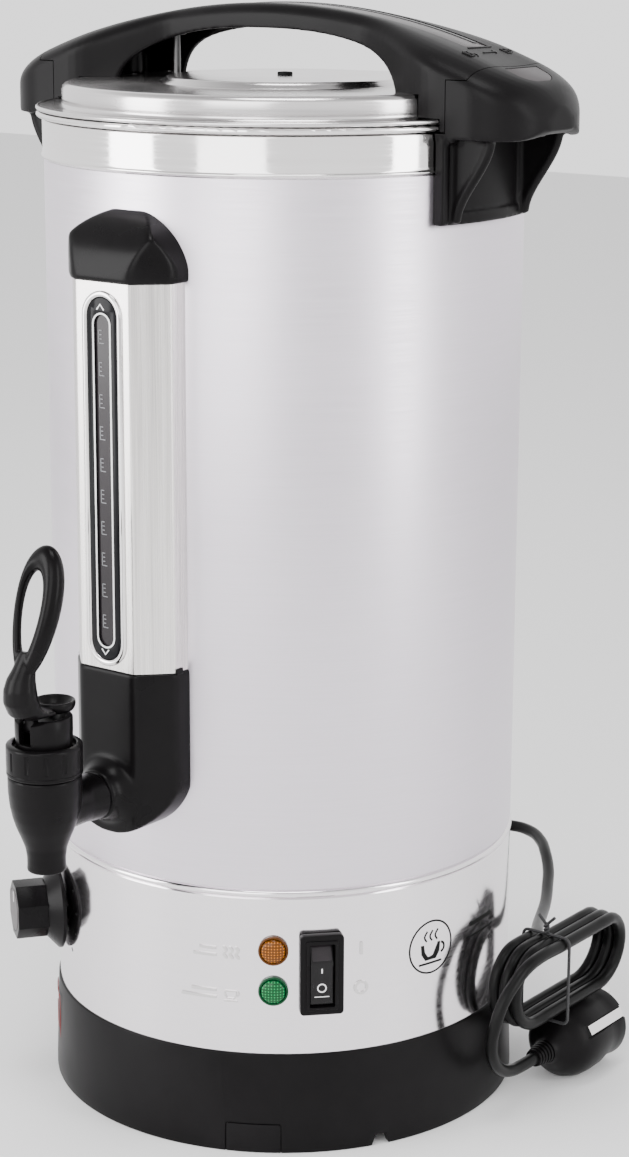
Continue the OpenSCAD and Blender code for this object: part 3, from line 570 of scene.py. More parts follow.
def finish(piece, body, look, stands_for=(), sharp=38):
    """Shades a piece, gives it its material and slot, and hangs it on its body."""
    piece.data.materials.clear()
    piece.data.materials.append(LOOKS[look])
    piece.data.shade_smooth()
    piece.data.set_sharp_from_angle(angle=math.radians(sharp))
    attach(piece, body)
    if stands_for:
        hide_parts(*stands_for)
    return piece


def build(name, body, look, solid, stands_for=(), round_edges=0.0, sharp=38, segments=3):
    """The common case: one solid with its edges rounded."""
    piece = bare_mesh(name, solid)
    if round_edges:
        soften(piece, round_edges, segments)
    return finish(piece, body, look, stands_for, sharp)


# ------------------------------------------------------------------ mains lead

# The free lead from the strain relief to the hank, and from the hank back to the plug
LEAD_ROUTE = [
    (0, 138, 74), (0, 146, 74), (3, 157, 74.5), (11, 166, 75.5), (23, 170, 76.5),
    (36, 168, 77), (48, 160, 76.5), (58, 149, 75), (68, 136, 72), (77, 121, 69.5),
    (86, 105, 68), (94, 89, 68.5), (102, 73, 70.5), (108, 62, 72.5), (113.5, 52, 74.5),
]
TAIL_ROUTE = [
    (134.5, 18, 76.2), (134, 10, 74), (133, 3, 69.5), (131.5, -4, 62),
    (130, -8, 52), (128, -8, 42), (126.5, -4, 32), (125.5, 4, 24), (125, 14, 19.5),
    (125, 24, 18.5), (125, 34, 18.5),
]
HANK_INNER_X = 113.5
HANK_LAYERS = 4
HANK_MID_Z = 58.2
HANK_FRONT_Y = 29.0
HANK_BACK_Y = 83.0
FOLD_R = 3 * CORD_D


def hank_route():
    """The folded runs: forwards along the top, down, back along the bottom, and up."""
    steps = 12
    made = [(HANK_INNER_X + CORD_D / 2, 42, HANK_MID_Z + FOLD_R)]
    front = arc((HANK_FRONT_Y, HANK_MID_Z), FOLD_R, 90, 270, steps)
    back = arc((HANK_BACK_Y, HANK_MID_Z), FOLD_R, -90, 90, steps)
    for layer in range(HANK_LAYERS - 1):
        x = HANK_INNER_X + CORD_D * (layer + 0.5)
        made += [(x, y, z) for y, z in front]
        made += [(x, y, HANK_MID_Z - FOLD_R) for y in (42, 56, 70)]
        made += [(x + CORD_D * step / steps, y, z) for step, (y, z) in enumerate(back)]
        made += [(x + CORD_D, y, HANK_MID_Z + FOLD_R) for y in (70, 56, 42)]
    return made


def make_cord():
    route = [Vector(p) for p in LEAD_ROUTE + hank_route() + TAIL_ROUTE]
    line = bpy.data.curves.new("mains_cord", "CURVE")
    line.dimensions = "3D"
    line.bevel_depth = CORD_D / 2 * MM
    line.bevel_resolution = 5
    line.resolution_u = 6
    line.use_fill_caps = True
    spline = line.splines.new("BEZIER")
    spline.bezier_points.add(len(route) - 1)
    for knot, point in zip(spline.bezier_points, route):
        knot.co = point * MM
        knot.handle_left_type = knot.handle_right_type = "AUTO"
    cord = bpy.data.objects.new("mains_cord", line)
    bpy.context.scene.collection.objects.link(cord)
    line.materials.append(LOOKS["cord_jacket"])
    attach(cord, "urn")
    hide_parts("cord_lead", "cord_hank", "cord_tail")
    return cord


# ------------------------------------------------------------------ marks

def stroke(points, width, low, high, closed=False):
    """A flat ribbon of even width along a line of (x, y) points."""
    count = len(points)
    rings = []
    for i in range(count):
        before = Vector(points[i - 1] if closed or i else points[0])
        after = Vector(points[(i + 1) % count] if closed or i < count - 1 else points[-1])
        along = (after - before).normalized()
        side = Vector((-along.y, along.x)) * width / 2
        here = Vector(points[i])
        left, right = here + side, here - side
        rings.append([(*left, low), (*right, low), (*right, high), (*left, high)])
    return loft(rings, closed=closed)


def line_of(start, end, steps=8):
    return [
        (start[0] + (end[0] - start[0]) * i / steps, start[1] + (end[1] - start[1]) * i / steps)
        for i in range(steps + 1)
    ]


def wrapped(solid, az, z, r=SHELL_R):
    """Bends a flat relief round the body: x goes round it, y goes up, and z goes outwards."""
    points, faces = solid
    made = []
    for x, y, out in points:
        a = math.radians(az) + x / r
        made.append(((r + out) * math.sin(a), -(r + out) * math.cos(a), z + y))
    return made, faces


def heat_mark(low, high):
    """Three rising waves."""
    solids = []
    for x in (-2.8, 0, 2.8):
        wave = [(x + 0.6 * math.sin(y * 1.7), y) for y in [-3 + 0.4 * i for i in range(16)]]
        solids.append(stroke(wave, 1.15, low, high))
    return together(*solids)


def cup_mark(low, high):
    """A cup with its handle, on a saucer."""
    bowl = [(-3, 1.8), (-2.8, -0.4), (-1.9, -1.8), (1.3, -1.8), (2.2, -0.4), (2.4, 1.8)]
    return together(
        stroke(bowl + [(-3, 1.8)], 0.75, low, high),
        stroke(arc((2.5, 0.5), 1.1, -80, 80), 0.6, low, high),
        stroke([(-3.4, -3), (2.8, -3)], 0.75, low, high),
    )


def bar_mark(x0, x1, low, high, y, height):
    return stroke(line_of((x0, y), (x1, y)), height, low, high)


def ring_mark(r, width, low, high, at=(0.0, 0.0)):
    return stroke(circle(r, 32, at), width, low, high, closed=True)


def steam_mark(low, high):
    """The body's printed mark: a steaming cup inside a ring."""
    puffs = []
    for x in (-3.2, 0, 3.2):
        line = [(x + 0.9 * math.sin(y * 0.9), y) for y in [3 + 0.5 * i for i in range(11)]]
        puffs.append(stroke(line, 0.9, low, high))
    cup = [(-6.2, 1.6), (-5.8, -3), (-3.6, -6.2), (2.8, -6.2), (5, -3), (5.4, 1.6)]
    return together(
        ring_mark(12.6, 0.9, low, high),
        prism(cup, low, high),
        stroke(arc((5.6, -1.4), 2.4, -80, 80), 1.1, low, high),
        stroke(line_of((-7.2, -7.8), (6.4, -7.8)), 1.0, low, high),
        *puffs,
    )


def dense(points, step):
    """Adds points along an outline, so that it can be bent."""
    made = []
    for start, end in zip(points, points[1:]):
        parts = max(1, round(math.dist(start, end) / step))
        made += line_of(start, end, parts)[:-1]
    return made + [points[-1]]


def warning_mark(low, high):
    """A hot surface label: heat waves in a triangle over three bars, in a frame."""
    edge = [(-12, -15), (-12, 15), (12, 15), (12, -15), (-12, -15)]
    triangle = [(-6.5, -3), (0, 8.5), (6.5, -3), (-6.5, -3)]
    bars = [bar_mark(-8, 8, low, high, y, 0.9) for y in (-6.5, -9.2, -11.9)]
    return together(
        stroke(dense(edge, 2), 0.8, low, high),
        stroke(dense(triangle, 1.5), 0.9, low, high),
        shifted(heat_mark(low, high), 0, -0.2),
        *bars,
    )


# ------------------------------------------------------------------ base and body

def placed_at(solid, az, reach):
    """Puts a solid at a direction counted from the tap, this far from the axis."""
    return turned(shifted(solid, 0, -reach, 0), az, "Z")


def make_base():
    skirt = [(108.4, 0), (107.4, 46), (106.2, 48), (106.2, 54), (108.7, 54), (108.7, BASE_H)]
    skirt += arc((110.1, BASE_H - 0.7), 0.7, 90, 10, 4) + [(112.25, 6)]
    skirt += arc((111.5, 0.8), 0.8, 0, -90, 4)
    base = bare_mesh("base_skirt_shell", lathe(skirt, 256))
    notch = prism([(-4.8, -1), (4.8, -1), (2.6, 5.6), (-2.6, 5.6)], 100, 120)
    carve(base, radial(notch, 61, 0))
    tab = [(-12.8, -1), (-12.8, 13.4), (-12, 14.2), (12, 14.2), (12.8, 13.4), (12.8, -1)]
    carve(base, wrapped(stroke(dense(tab, 1.5), 0.7, -0.9, 3), 30.3, 0, 112.0))
    soften(base, 0.35, 2, 50)
    finish(base, "urn", "black_plastic", ["base_skirt"])
    for i, az in enumerate((45, 135, 225, 315)):
        boss = lathe([(1.6, 4.6), (5.2, 4.6), (5.2, 22), (4.6, 22.6), (1.6, 22.6)], 40)
        build(f"screw_boss_{i + 1}", "urn", "black_plastic", placed_at(boss, az, 103.5))
    build("hot_surface_label", "urn", "mark_red", wrapped(warning_mark(0, 0.25), WARNING_AZ, 25, 111.55))


def make_housing():
    top = BEAD_Z - 3.4
    wall = [(109.0, BASE_H), (109.0, top - 4.2), (107.4, top - 4.2), (107.4, top + 9)]
    wall += [(109.0, top + 9), (109.0, BEAD_Z + 0.1)]
    wall += arc((108.9, BEAD_Z - 1.7), 1.7, 80, -80, 10)
    wall += [(109.75, top - 0.2), (SHELL_R, top - 0.6), (SHELL_R, BASE_H)]
    housing = bare_mesh("housing_shell", lathe(wall, 256))
    for z in LAMP_ZS.values():
        carve(housing, radial(prism(circle(5.4), 100, 120), LAMP_AZ, z))
    carve(housing, radial(prism(rounded_rect(17.6, 37.6, 1), 100, 120), SWITCH_AZ, CONTROL_Z))
    carve(housing, radial(prism(circle(4.5), 100, 120), KNOB_AZ, KNOB_Z))
    carve(housing, radial(prism(circle(6), 100, 120), 180, LEAD_EXIT_Z))
    finish(housing, "urn", "bright_housing", ["lower_housing"], 30)
    make_labels()


def make_labels():
    """The embossed labels beside the lamps and the switch, and the printed mark."""
    low, high = -0.3, 0.6
    labels = []
    for mark, z, long_ends in ((heat_mark, 96.6, (-15, -18)), (cup_mark, 76.2, (-19, -24))):
        labels.append(wrapped(mark(low, high), LABEL_AZ, z))
        for x, y in zip(long_ends, (1.7, -1.7)):
            labels.append(wrapped(bar_mark(x, -7, low, high, y, 1.4), LABEL_AZ, z))
    labels.append(wrapped(stroke([(0, -3), (0, 3)], 1.4, low, high), ON_OFF_AZ, 97.6))
    labels.append(wrapped(ring_mark(2.8, 1.3, low, high), ON_OFF_AZ, 78.6))
    # The raised marks take a darker steel than the housing: painted shade standing in for the light and
    # shade on their relief.
    build("embossed_labels", "urn", "embossed_steel", together(*labels), round_edges=0.28)
    build("printed_mark", "urn", "mark_black", wrapped(steam_mark(-0.1, 0.08), PRINT_AZ, 91))
    lines = together(
        wrapped(bar_mark(-10, 10, -0.1, 0.08, 0, 2.2), 94.5, 94.5),
        wrapped(bar_mark(-12, 12, -0.1, 0.08, 0, 1.1), 94.5, 88.5),
    )
    build("printed_lines", "urn", "mark_black", lines)


def make_shell():
    low, high = BEAD_Z + 0.4, BAND_Z - 0.2
    wall = [(109.0, low), (109.0, high), (109.9, high), (SHELL_R, high - 0.2)]
    wall += [(SHELL_R, low + 1.2), (109.7, low + 0.3), (109.3, low)]
    shell = bare_mesh("upper_shell", lathe(wall, 256))
    hole = turned(prism(circle(8.3), 100, 120), 90, "X")
    carve(shell, shifted(hole, 0, 0, PIPE_Z))
    finish(shell, "urn", "brushed_shell", ["outer_shell"], 30)
    seam = wrapped(stroke(line_of((0, low + 2), (0, high - 1), 2), 5.0, -0.3, 0.25), 180, 0)
    build("back_seam", "urn", "brushed_shell", seam, round_edges=0.2)
    for side in (-1, 1):
        for step in range(9):
            z = low + 18 + 35 * step
            dot = wrapped(prism(circle(0.9, 20, (side * 1.4, 0)), -0.2, 0.36), 180, z)
            build(f"seam_weld_{side + 2}_{step + 1}", "urn", "plain_steel", dot, round_edges=0.1)


def make_band():
    band = [(107.8, BAND_Z - 6), (107.8, RIM_Z - 2)]
    band += [(110.1, RIM_Z - 2), (110.5, RIM_Z - 2.3), (110.6, RIM_Z - 2.9), (110.5, BAND_Z + 3.6)]
    band += [(110.7, BAND_Z + 2.7)] + arc((110.45, BAND_Z + 1.3), 0.72, 60, -70, 8)
    band += [(110.2, BAND_Z), (109.0, BAND_Z), (109.0, BAND_Z - 6)]
    build("rim_band_ring", "urn", "polished_steel", lathe(band, 256), ["rim_band"], sharp=50)


# ------------------------------------------------------------------ lid

def make_lid():
    flange, sheet = RIM_Z + 2.2, 1.0
    outer = [(2.6, LID_DISC_Z), (30, LID_DISC_Z - 0.1)]
    outer += arc((52.6, LID_DISC_Z - 2.3), 2.2, 90, 30, 6)
    outer += arc((58.4, LID_TOP_Z + 1.3), 1.3, 215, 270, 5)
    outer += [(70, LID_TOP_Z + 0.1), (97, LID_TOP_Z)]
    outer += arc((98.3, LID_TOP_Z - 3.2), 3.2, 80, 0, 8)
    outer += [(101.6, flange + 3.4)] + arc((103.4, flange + 2.9), 1.9, 180, 270, 6)
    outer += [(111.8, flange + sheet)]
    outer += arc((112.4, flange + 0.6), 1.0, 110, -110, 10)
    inner = [(111.4, flange), (102.6, flange), (100.5, flange + 2.4), (100.5, LID_TOP_Z - 3.4)]
    inner += [(98.2, LID_TOP_Z - sheet), (58, LID_TOP_Z - sheet), (53, LID_DISC_Z - sheet)]
    inner += [(2.6, LID_DISC_Z - sheet)]
    pan = bare_mesh("lid_pan_sheet", lathe(outer + inner, 256))
    for x in BOLT_XS:
        carve(pan, shifted(prism(circle(2.2, 32), 470, 490), x))
    finish(pan, "lid", "lid_satin", ["lid_pan"], 50)
    vent = [(1, LID_DISC_Z - 3), (2.5, LID_DISC_Z - 3), (2.5, LID_DISC_Z + 0.1)]
    vent += [(3.5, LID_DISC_Z + 0.1)] + arc((2.9, LID_DISC_Z + 0.9), 0.6, 0, 90, 6)
    vent += arc((1.5, LID_DISC_Z + 1.1), 0.5, 90, 180, 4)
    build("steam_vent_plug", "lid", "rubber", lathe(vent, 64), ["steam_vent"])


def top_z(x):
    return ARCH_TOP_Z - ARCH_CURVE_R + math.sqrt(ARCH_CURVE_R ** 2 - x * x)


def arch_half_w(x):
    """Narrow along the grip, flaring to the handle's full width at the ends."""
    flare = min(1.0, max(0.0, (abs(x) - 50) / 56))
    return GRIP_HALF_W + (HANDLE_HALF_W - GRIP_HALF_W) * (1 - math.cos(math.pi * flare)) / 2


def crowned(x, half_w, top, low, edge_w, edge_h, steps=8):
    """A cross-section at x: upright sides, wide round shoulders, and a slightly crowned top."""
    right = [(x, half_w, low), (x, half_w, (low + top) / 2)]
    for i in range(steps + 1):
        a = math.pi / 2 * i / steps
        y = half_w - edge_w + edge_w * math.cos(a)
        right.append((x, y, top - edge_h + edge_h * math.sin(a)))
    return right + [(x, -y, z) for x, y, z in reversed(right)]


def arch_body(shrink, low=461.6):
    """The arch's outer shape before its ends are cut, or with shrink its hollow."""
    rings = []
    for i in range(66):
        x = -130 + 260 * i / 65
        half_w = arch_half_w(x) - shrink
        wider = half_w + shrink - GRIP_HALF_W
        edge_w, edge_h = 6 + 0.75 * wider - shrink / 2, 6.5 + 0.2 * wider - shrink / 2
        rings.append(crowned(x, half_w, top_z(x) - shrink, low, edge_w, edge_h))
    return loft(rings)


def upright(outline, half):
    """Extrudes an outline drawn in X and Z to both sides of the middle plane."""
    return loft([[(x, y, z) for x, z in outline] for y in (-half, half)])


def finger_outline():
    """The opening under the grip: the upper half of a slightly squared ellipse."""
    half_l, height, power = 80, 31.5, 0.83
    arch = []
    for c, s in [polar(1, a) for a in range(0, 181, 5)]:
        arch.append((half_l * math.copysign(abs(c) ** power, c), 470 + height * abs(s) ** power))
    return [(half_l, 440)] + arch + [(-half_l, 440)]


def top_band(half_l, low, high, steps=40):
    line = [-half_l + 2 * half_l * i / steps for i in range(steps + 1)]
    return [(x, top_z(x) + high) for x in line] + [(x, top_z(x) + low) for x in reversed(line)]


def strip_along_arch(half_w, reach, low, high, tip, steps=40):
    """A strip that follows the arch's top to both sides, with rounded ends in plan."""
    rings = []
    for i in range(steps + 1):
        x = -reach + 2 * reach * (1 - math.cos(math.pi * i / steps)) / 2
        short = min(x + reach, reach - x)
        lost = tip - math.sqrt(max(0, tip ** 2 - (tip - short) ** 2)) if short < tip else 0
        w, z = half_w - lost, top_z(x)
        rings.append([(x, w, z + low), (x, w, z + high), (x, -w, z + high), (x, -w, z + low)])
    return loft(rings)


def on_arch(solid, x0):
    """Lays a flat relief on the arch's top; its own y goes towards the urn's back."""
    points, faces = solid
    return [(x0 + x, y, top_z(x0 + x) + z) for x, y, z in points], faces


def padlock(is_open, low, high):
    shift = 1.6 if is_open else 0.0
    shackle = [(-1.3 + shift, 0), (-1.3 + shift, 1.3)] + arc((shift, 1.3), 1.3, 180, 0, 8)
    shackle += [] if is_open else [(1.3, 0)]
    body = [(-2.2, -3), (2.2, -3), (2.2, 0), (-2.2, 0), (-2.2, -3)]
    return together(
        stroke(dense(body, 1), 0.6, low, high), stroke(shackle, 0.6, low, high),
        prism(circle(0.5, 16, (0, -1.5)), low, high),
    )


def turn_arrow(low, high):
    head = [(5.4, 0), (3.2, 1.6), (3.2, -1.6)]
    return together(stroke(line_of((-5.4, 0), (3.4, 0)), 0.6, low, high), prism(head, low, high))


def make_arch():
    arch = bare_mesh("lid_arch", arch_body(0))
    hollow = bare_mesh("hollow", arch_body(WALL, 455))
    carve(hollow, prism(circle(FOOT_SEAM_R - WALL, 120), 400, 600), keep=True)
    carve_with(arch, hollow)
    carve(arch, upright(finger_outline(), 60))
    for reach, low in ((INNER_BOLT_X, 496), (OUTER_BOLT_X, LID_TOP_Z + 0.3)):
        for x in (-reach, reach):
            add_solid(arch, shifted(prism(circle(5, 32), low, top_z(x) - 2.2), x))
    melt(arch, 0.75, 6)
    ends = [(FOOT_SEAM_R, 440), (FOOT_SEAM_R, TONGUE_Z), (TONGUE_SEAM_R, TONGUE_Z)]
    ends += [(TONGUE_SEAM_R, 560)]
    carve(arch, turned_solid([(0, 440)] + ends + [(0, 560)], 180), keep=True)
    carve(arch, prism(circle(101.9, 160), 440, LID_TOP_Z + 0.1))
    carve(arch, prism(circle(113.7, 160), 440, 467.4))
    for x in BOLT_XS:
        hole_top = 495 if abs(x) == OUTER_BOLT_X else 499.5
        carve(arch, shifted(prism(circle(2.0, 24), 470, hole_top), x))
    carve(arch, upright(top_band(104.3, -1.2, 3), 8.3))
    finish(arch, "lid", "black_plastic", ["arch_handle"], 40)

    strip = strip_along_arch(8.0, 104, -1.15, -0.3, tip=1.5)
    build("inlay_strip", "lid", "inlay_brown", strip, ["arch_inlay"], round_edges=0.25)
    # A thin gloss black strip along the back edge of the inlay's recess: painted shadow where that edge
    # casts shade.
    shadow_strip = strip_along_arch(1.3, 100, -0.5, -0.1, tip=1.0)
    build("recess_shadow", "lid", "gloss_black", shifted(shadow_strip, 0, 5.6), round_edges=0.1)
    for side in (-1, 1):
        marks = together(
            shifted(padlock(True, -0.6, 0.35), 0, -15),
            turned(turn_arrow(-0.6, 0.35), 90, "Z"),
            shifted(padlock(False, -0.6, 0.35), 0, 14),
        )
        placed = on_arch(turned(marks, 0 if side > 0 else 180, "Z"), side * 111)
        build(f"lock_marks_{side + 2}", "lid", "black_plastic", placed, round_edges=0.12, segments=2)
        ridge = on_arch(stroke([(0, -9), (0, 9)], 0.8, -0.4, 0.4), side * 105.6)
        build(f"inlay_ridge_{side + 2}", "lid", "black_plastic", ridge, round_edges=0.2)


# ------------------------------------------------------------------ side handles

def wing_half_w(x):
    return HANDLE_HALF_W if x <= 121 else 7 + math.sqrt(max(0, 27 ** 2 - (x - 121) ** 2))


def wing_top(x):
    """The arch's own curve, then a steeper droop to the tip."""
    droop_x = 136
    t = max(0, (x - droop_x) / (HANDLE_REACH - droop_x))
    return top_z(min(x, droop_x)) - 5.2 * t - 6.4 * t ** 3


def wing_low(x):
    return WING_Z + max(0, (x - 141) / 7) ** 2 * 4.5


def wing_body(shrink, low=None):
    """One side handle's outer shape, or with shrink its hollow, down to the height low."""
    rings = []
    for i in range(40):
        x = 95 + (HANDLE_REACH - shrink - 95) * math.sin(math.pi / 2 * i / 39)
        half_w = wing_half_w(x + shrink) - shrink if x > 118 else HANDLE_HALF_W - shrink
        half_w = max(half_w, 4)
        top = wing_top(min(x + shrink, HANDLE_REACH)) - shrink
        base = wing_low(x) if low is None else low
        edge = min(19.5 - shrink / 2, half_w * 0.9)
        rings.append(crowned(x, half_w, top, base, edge, 10.1 - shrink / 2))
    return loft(rings)


def rib_x(z):
    """How far out the side handle's curved rib reaches at a height."""
    t = min(1, max(0, (z - 423) / 37))
    return 113.6 + 17 * (3 * t ** 2 - 2 * t ** 3)


def sector(r0, r1, half_y, z0, z1, steps=24):
    """Part of a ring about the axis, centred on +X."""
    half_a = math.asin(half_y / r1)
    rings = []
    for i in range(steps + 1):
        a = -half_a + 2 * half_a * i / steps
        c, s = math.cos(a), math.sin(a)
        rings.append([(r * c, r * s, z) for r, z in ((r0, z0), (r1, z0), (r1, z1), (r0, z1))])
    return loft(rings)


def make_side_handle(name, node, flip):
    handle = bare_mesh(name, wing_body(0))
    hollow = bare_mesh("hollow", wing_body(WALL, 440))
    carve(hollow, prism(circle(FOOT_SEAM_R + SEAM_GAP + WALL, 120), 400, 600))
    carve_with(handle, hollow)
    plate = bare_mesh("plate", sector(108, SHELL_R + 4.6, HANDLE_HALF_W, 422, 461))
    carve(plate, sector(113.4, 122, 25.2, 427, 470))
    add_object(handle, plate)
    add_solid(handle, sector(112.5, FOOT_SEAM_R + SEAM_GAP + WALL, HANDLE_HALF_W, 457, 462))
    for y in (-27, 27):
        line = [423.2 + 1.0 * i for i in range(38)]
        rib = [(rib_x(z), z) for z in line] + [(109, 460), (109, 423.2)]
        add_solid(handle, shifted(upright(rib, 1.5), 0, y))
        add_solid(handle, tube([(rib_x(z) - 0.6, y, z) for z in line], 2.2))
    for y in (-32.2, 32.2):
        edge = sector(110, 116.2, 2, 422.4, 459)
        a = math.degrees(math.asin(y / 114))
        add_solid(handle, turned(edge, a, "Z"))
    lip = [(x - 2, 2.2 - wing_half_w(x), wing_low(x) + 1.9) for x in [121 + i for i in range(27)]]
    lip += [(x, -y, z) for x, y, z in reversed(lip)]
    add_solid(handle, tube(lip, 2.3, 20))
    melt(handle, 0.75, 6)
    cut = [(110.15, 400), (110.15, BAND_Z - 0.3), (111.4, BAND_Z - 0.3), (111.4, 461.2)]
    cut += [(FOOT_SEAM_R + SEAM_GAP, 461.2), (FOOT_SEAM_R + SEAM_GAP, TONGUE_Z - 0.4)]
    cut += [(TONGUE_SEAM_R + SEAM_GAP, TONGUE_Z - 0.4), (TONGUE_SEAM_R + SEAM_GAP, 560)]
    carve(handle, turned_solid([(0, 400)] + cut + [(0, 560)], 180))
    carve(handle, inset_solid(0.25, -0.9, 4))
    if flip:
        mirror(handle)
    finish(handle, "urn", "black_plastic", [node], 40)


def inset_solid(grow, low, high):
    """The tongue-shaped grey inset, or with grow the recess that it lies in."""
    rings = []
    for i in range(25):
        t = i / 24
        x = 126.8 - grow + (11.6 + 2 * grow) * t
        w, z = 12.2 * math.sqrt(1 - 0.85 * t ** 4) + grow, wing_top(x)
        rings.append([(x, w, z + low), (x, w, z + high), (x, -w, z + high), (x, -w, z + low)])
    return loft(rings)


def mirror(piece):
    piece.data.transform(Matrix.Scale(-1, 4, (1, 0, 0)))
    piece.data.flip_normals()


def make_side_handles():
    make_side_handle("right_handle", "side_handle_right", False)
    make_side_handle("left_handle", "side_handle_left", True)
    for name, side in (("right_inset", 1), ("left_inset", -1)):
        inset = bare_mesh(name, inset_solid(0, -0.88, -0.1))
        soften(inset, 0.2, 2)
        if side < 0:
            mirror(inset)
        finish(inset, "urn", "grey_plastic", ["handle_insets"])


# ------------------------------------------------------------------ sight gauge

COLUMN_Z = 228.0
CAP_Z = 399.0
GAUGE_LOW_Z = 240.7
GAUGE_HIGH_Z = 384.3
COLUMN_FRONT = 128.0


def column_outline(grow, bend=1.2):
    """The half octagon that stands on the body, with slightly rounded bends."""
    flat, half, front = 15.5 + grow * 0.414, 28 + grow, COLUMN_FRONT + grow
    shoulder = front - (half - flat)
    corners = [(-half, -90), (-half, -shoulder), (-flat, -front)]
    corners += [(flat, -front), (half, -shoulder), (half, -90)]
    made = [corners[0]]
    for i in range(1, 5):
        here = Vector(corners[i])
        before = (Vector(corners[i - 1]) - here).normalized()
        after = (Vector(corners[i + 1]) - here).normalized()
        start, end = here + before * bend, here + after * bend
        for step in range(5):
            t = step / 4
            made.append(tuple((1 - t) ** 2 * start + 2 * t * (1 - t) * here + t ** 2 * end))
    return made + [corners[-1]]


def facing(solid):
    """Stands a flat solid up, so that its +Z points to the front."""
    return turned(solid, 90, "X")


def gauge_slot(r, front, back):
    """A slot with round ends through the column's front, between two depths."""
    return facing(prism(stadium(r, GAUGE_LOW_Z, GAUGE_HIGH_Z, 24), front, back))


def window_line(r):
    """The window's outline, which ends just inside the slot's own."""
    return stadium(r, GAUGE_LOW_Z + 2, GAUGE_HIGH_Z - 3.4)


def make_column():
    cover = bare_mesh("column_sheet", prism(column_outline(0), COLUMN_Z, CAP_Z))
    carve(cover, prism(column_outline(-1.0), COLUMN_Z - 5, CAP_Z + 5))
    carve(cover, prism(circle(SHELL_R + 0.1, 180), 200, 420))
    carve(cover, gauge_slot(9.4, 100, 140))
    finish(cover, "urn", "brushed_column", ["column_cover"], 30)
    make_cap()
    make_box()
    make_gauge()


def make_cap():
    """The domed cap: the column's outline, pulled in along an elliptical profile."""
    cap = bare_mesh("column_dome", prism(column_outline(1.8, 5.0), CAP_Z, CAP_Z + 32))
    across = [(30.4 * s, CAP_Z + 30.6 * c) for c, s in [polar(1, a) for a in range(-90, 91, 5)]]
    carve(cap, upright(across + [(30.4, CAP_Z - 2), (-30.4, CAP_Z - 2)], 200), keep=True)
    along = [(-98 - s, CAP_Z + c) for c, s in [polar(31.6, a) for a in range(-60, 91, 5)]]
    along += [(-129.6, CAP_Z - 2), (-70.6, CAP_Z - 2)]
    carve(cap, loft([[(x, y, z) for y, z in along] for x in (-50, 50)]), keep=True)
    melt(cap, 0.8, 26)
    carve(cap, prism(rounded_rect(400, 400, 1), 380, CAP_Z + 0.1))
    carve(cap, prism(circle(SHELL_R + 0.1, 180), 380, 450))
    finish(cap, "urn", "soft_black", ["column_cap"], 50)


def make_box():
    box = bare_mesh("tap_box", prism(column_outline(0.8, 2.4), 140, COLUMN_Z))
    below = arc((0, 182), 30, 180, 360, 36)
    carve(box, upright(below + [(30, 260), (-30, 260)], 200), keep=True)
    soften(box, 2.5, 4, 22)
    neck = [(0, -1), (17.5, -1)]
    neck += [(11.3 + 6 * (1 - t / 12) ** 2.4, 0.1 + 0.9 * t) for t in range(13)] + [(0, 11.2)]
    boss = facing(turned_solid(neck, 64))
    add_solid(box, shifted(boss, 0, -127.6, PIPE_Z))
    melt(box, 0.7, 22)
    carve(box, prism(circle(SHELL_R + 0.1, 180), 120, 300))
    carve(box, prism(circle(60, 4), COLUMN_Z - 0.6, 300))
    finish(box, "urn", "soft_black", ["column_box"], 50)
    for x in (-28.3, 28.3):
        tip = [(-0.7, 0), (0.7, 0), (0.25, 2.6), (-0.25, 2.6)]
        solid = shifted(upright(tip, 2.2), x, -112.6, COLUMN_Z - 0.9)
        build(f"box_tip_{2 if x > 0 else 1}", "urn", "soft_black", solid, round_edges=0.2)


def make_gauge():
    outer = []
    section = [(8.25, 125.9), (9.3, 125.9), (9.3, 128.05), (11.2, 128.05), (11.1, 128.6)]
    section += [(10.6, 129.0), (9.8, 129.2), (8.9, 129.0), (8.4, 128.3)]
    for a_z, start in ((GAUGE_HIGH_Z, 0), (GAUGE_LOW_Z, 180)):
        for step in range(25):
            a = math.radians(start + 7.5 * step)
            outer.append([(r * math.cos(a), -y, a_z + r * math.sin(a)) for r, y in section])
    build("gauge_ring", "urn", "polished_steel", loft(outer, closed=True), ["gauge_bezel"], sharp=60)

    plate = bare_mesh("gauge_face", gauge_slot(8.15, 127.4, 128.5))
    carve(plate, facing(prism(window_line(4.2), 100, 140)))
    soften(plate, 0.2, 2)
    finish(plate, "urn", "gloss_black", ["gauge_plate"])
    outline = stroke(window_line(4.75), 0.75, 128.35, 128.7, closed=True)
    build("window_outline", "urn", "mark_white", facing(outline))
    # A black sheet behind the window, in the printed marks' black: painted shade for the column's dark
    # inside.
    back = prism(window_line(6), 112.5, 113.2)
    build("gauge_shade", "urn", "mark_black", facing(back))
    glass = prism(window_line(5.6), 126.9, 127.5)
    build("gauge_window", "urn", "smoked_glass", facing(glass))
    make_gauge_marks()


def make_gauge_marks():
    ticks = []
    for group in range(10):
        z = GAUGE_LOW_Z + 6 + 14 * group
        ticks.append(stroke([(-2.4, z), (-2.4, z + 5.6)], 0.35, 0, 0.15))
        ticks += [bar_mark(-2.4, 0.4 if i == 0 else -0.8, 0, 0.15, z + 1.85 * i, 0.4) for i in range(4)]
    build("gauge_ticks", "urn", "tick_grey", shifted(facing(together(*ticks)), 0, -127.5))
    full = [(-2, -1.1), (0, 1.3), (2, -1.1)]
    high = shifted(stroke(full, 0.6, 0, 0.15), -0.6, GAUGE_HIGH_Z + 4.0)
    low = shifted(stroke([(x, -y) for x, y in full], 0.6, 0, 0.15), -0.6, GAUGE_LOW_Z - 4.8)
    build("level_marks", "urn", "mark_white", shifted(facing(together(high, low)), 0, -128.48))


# ------------------------------------------------------------------ tap

def at_tap(solid):
    return shifted(solid, 0, TAP_Y, 0)


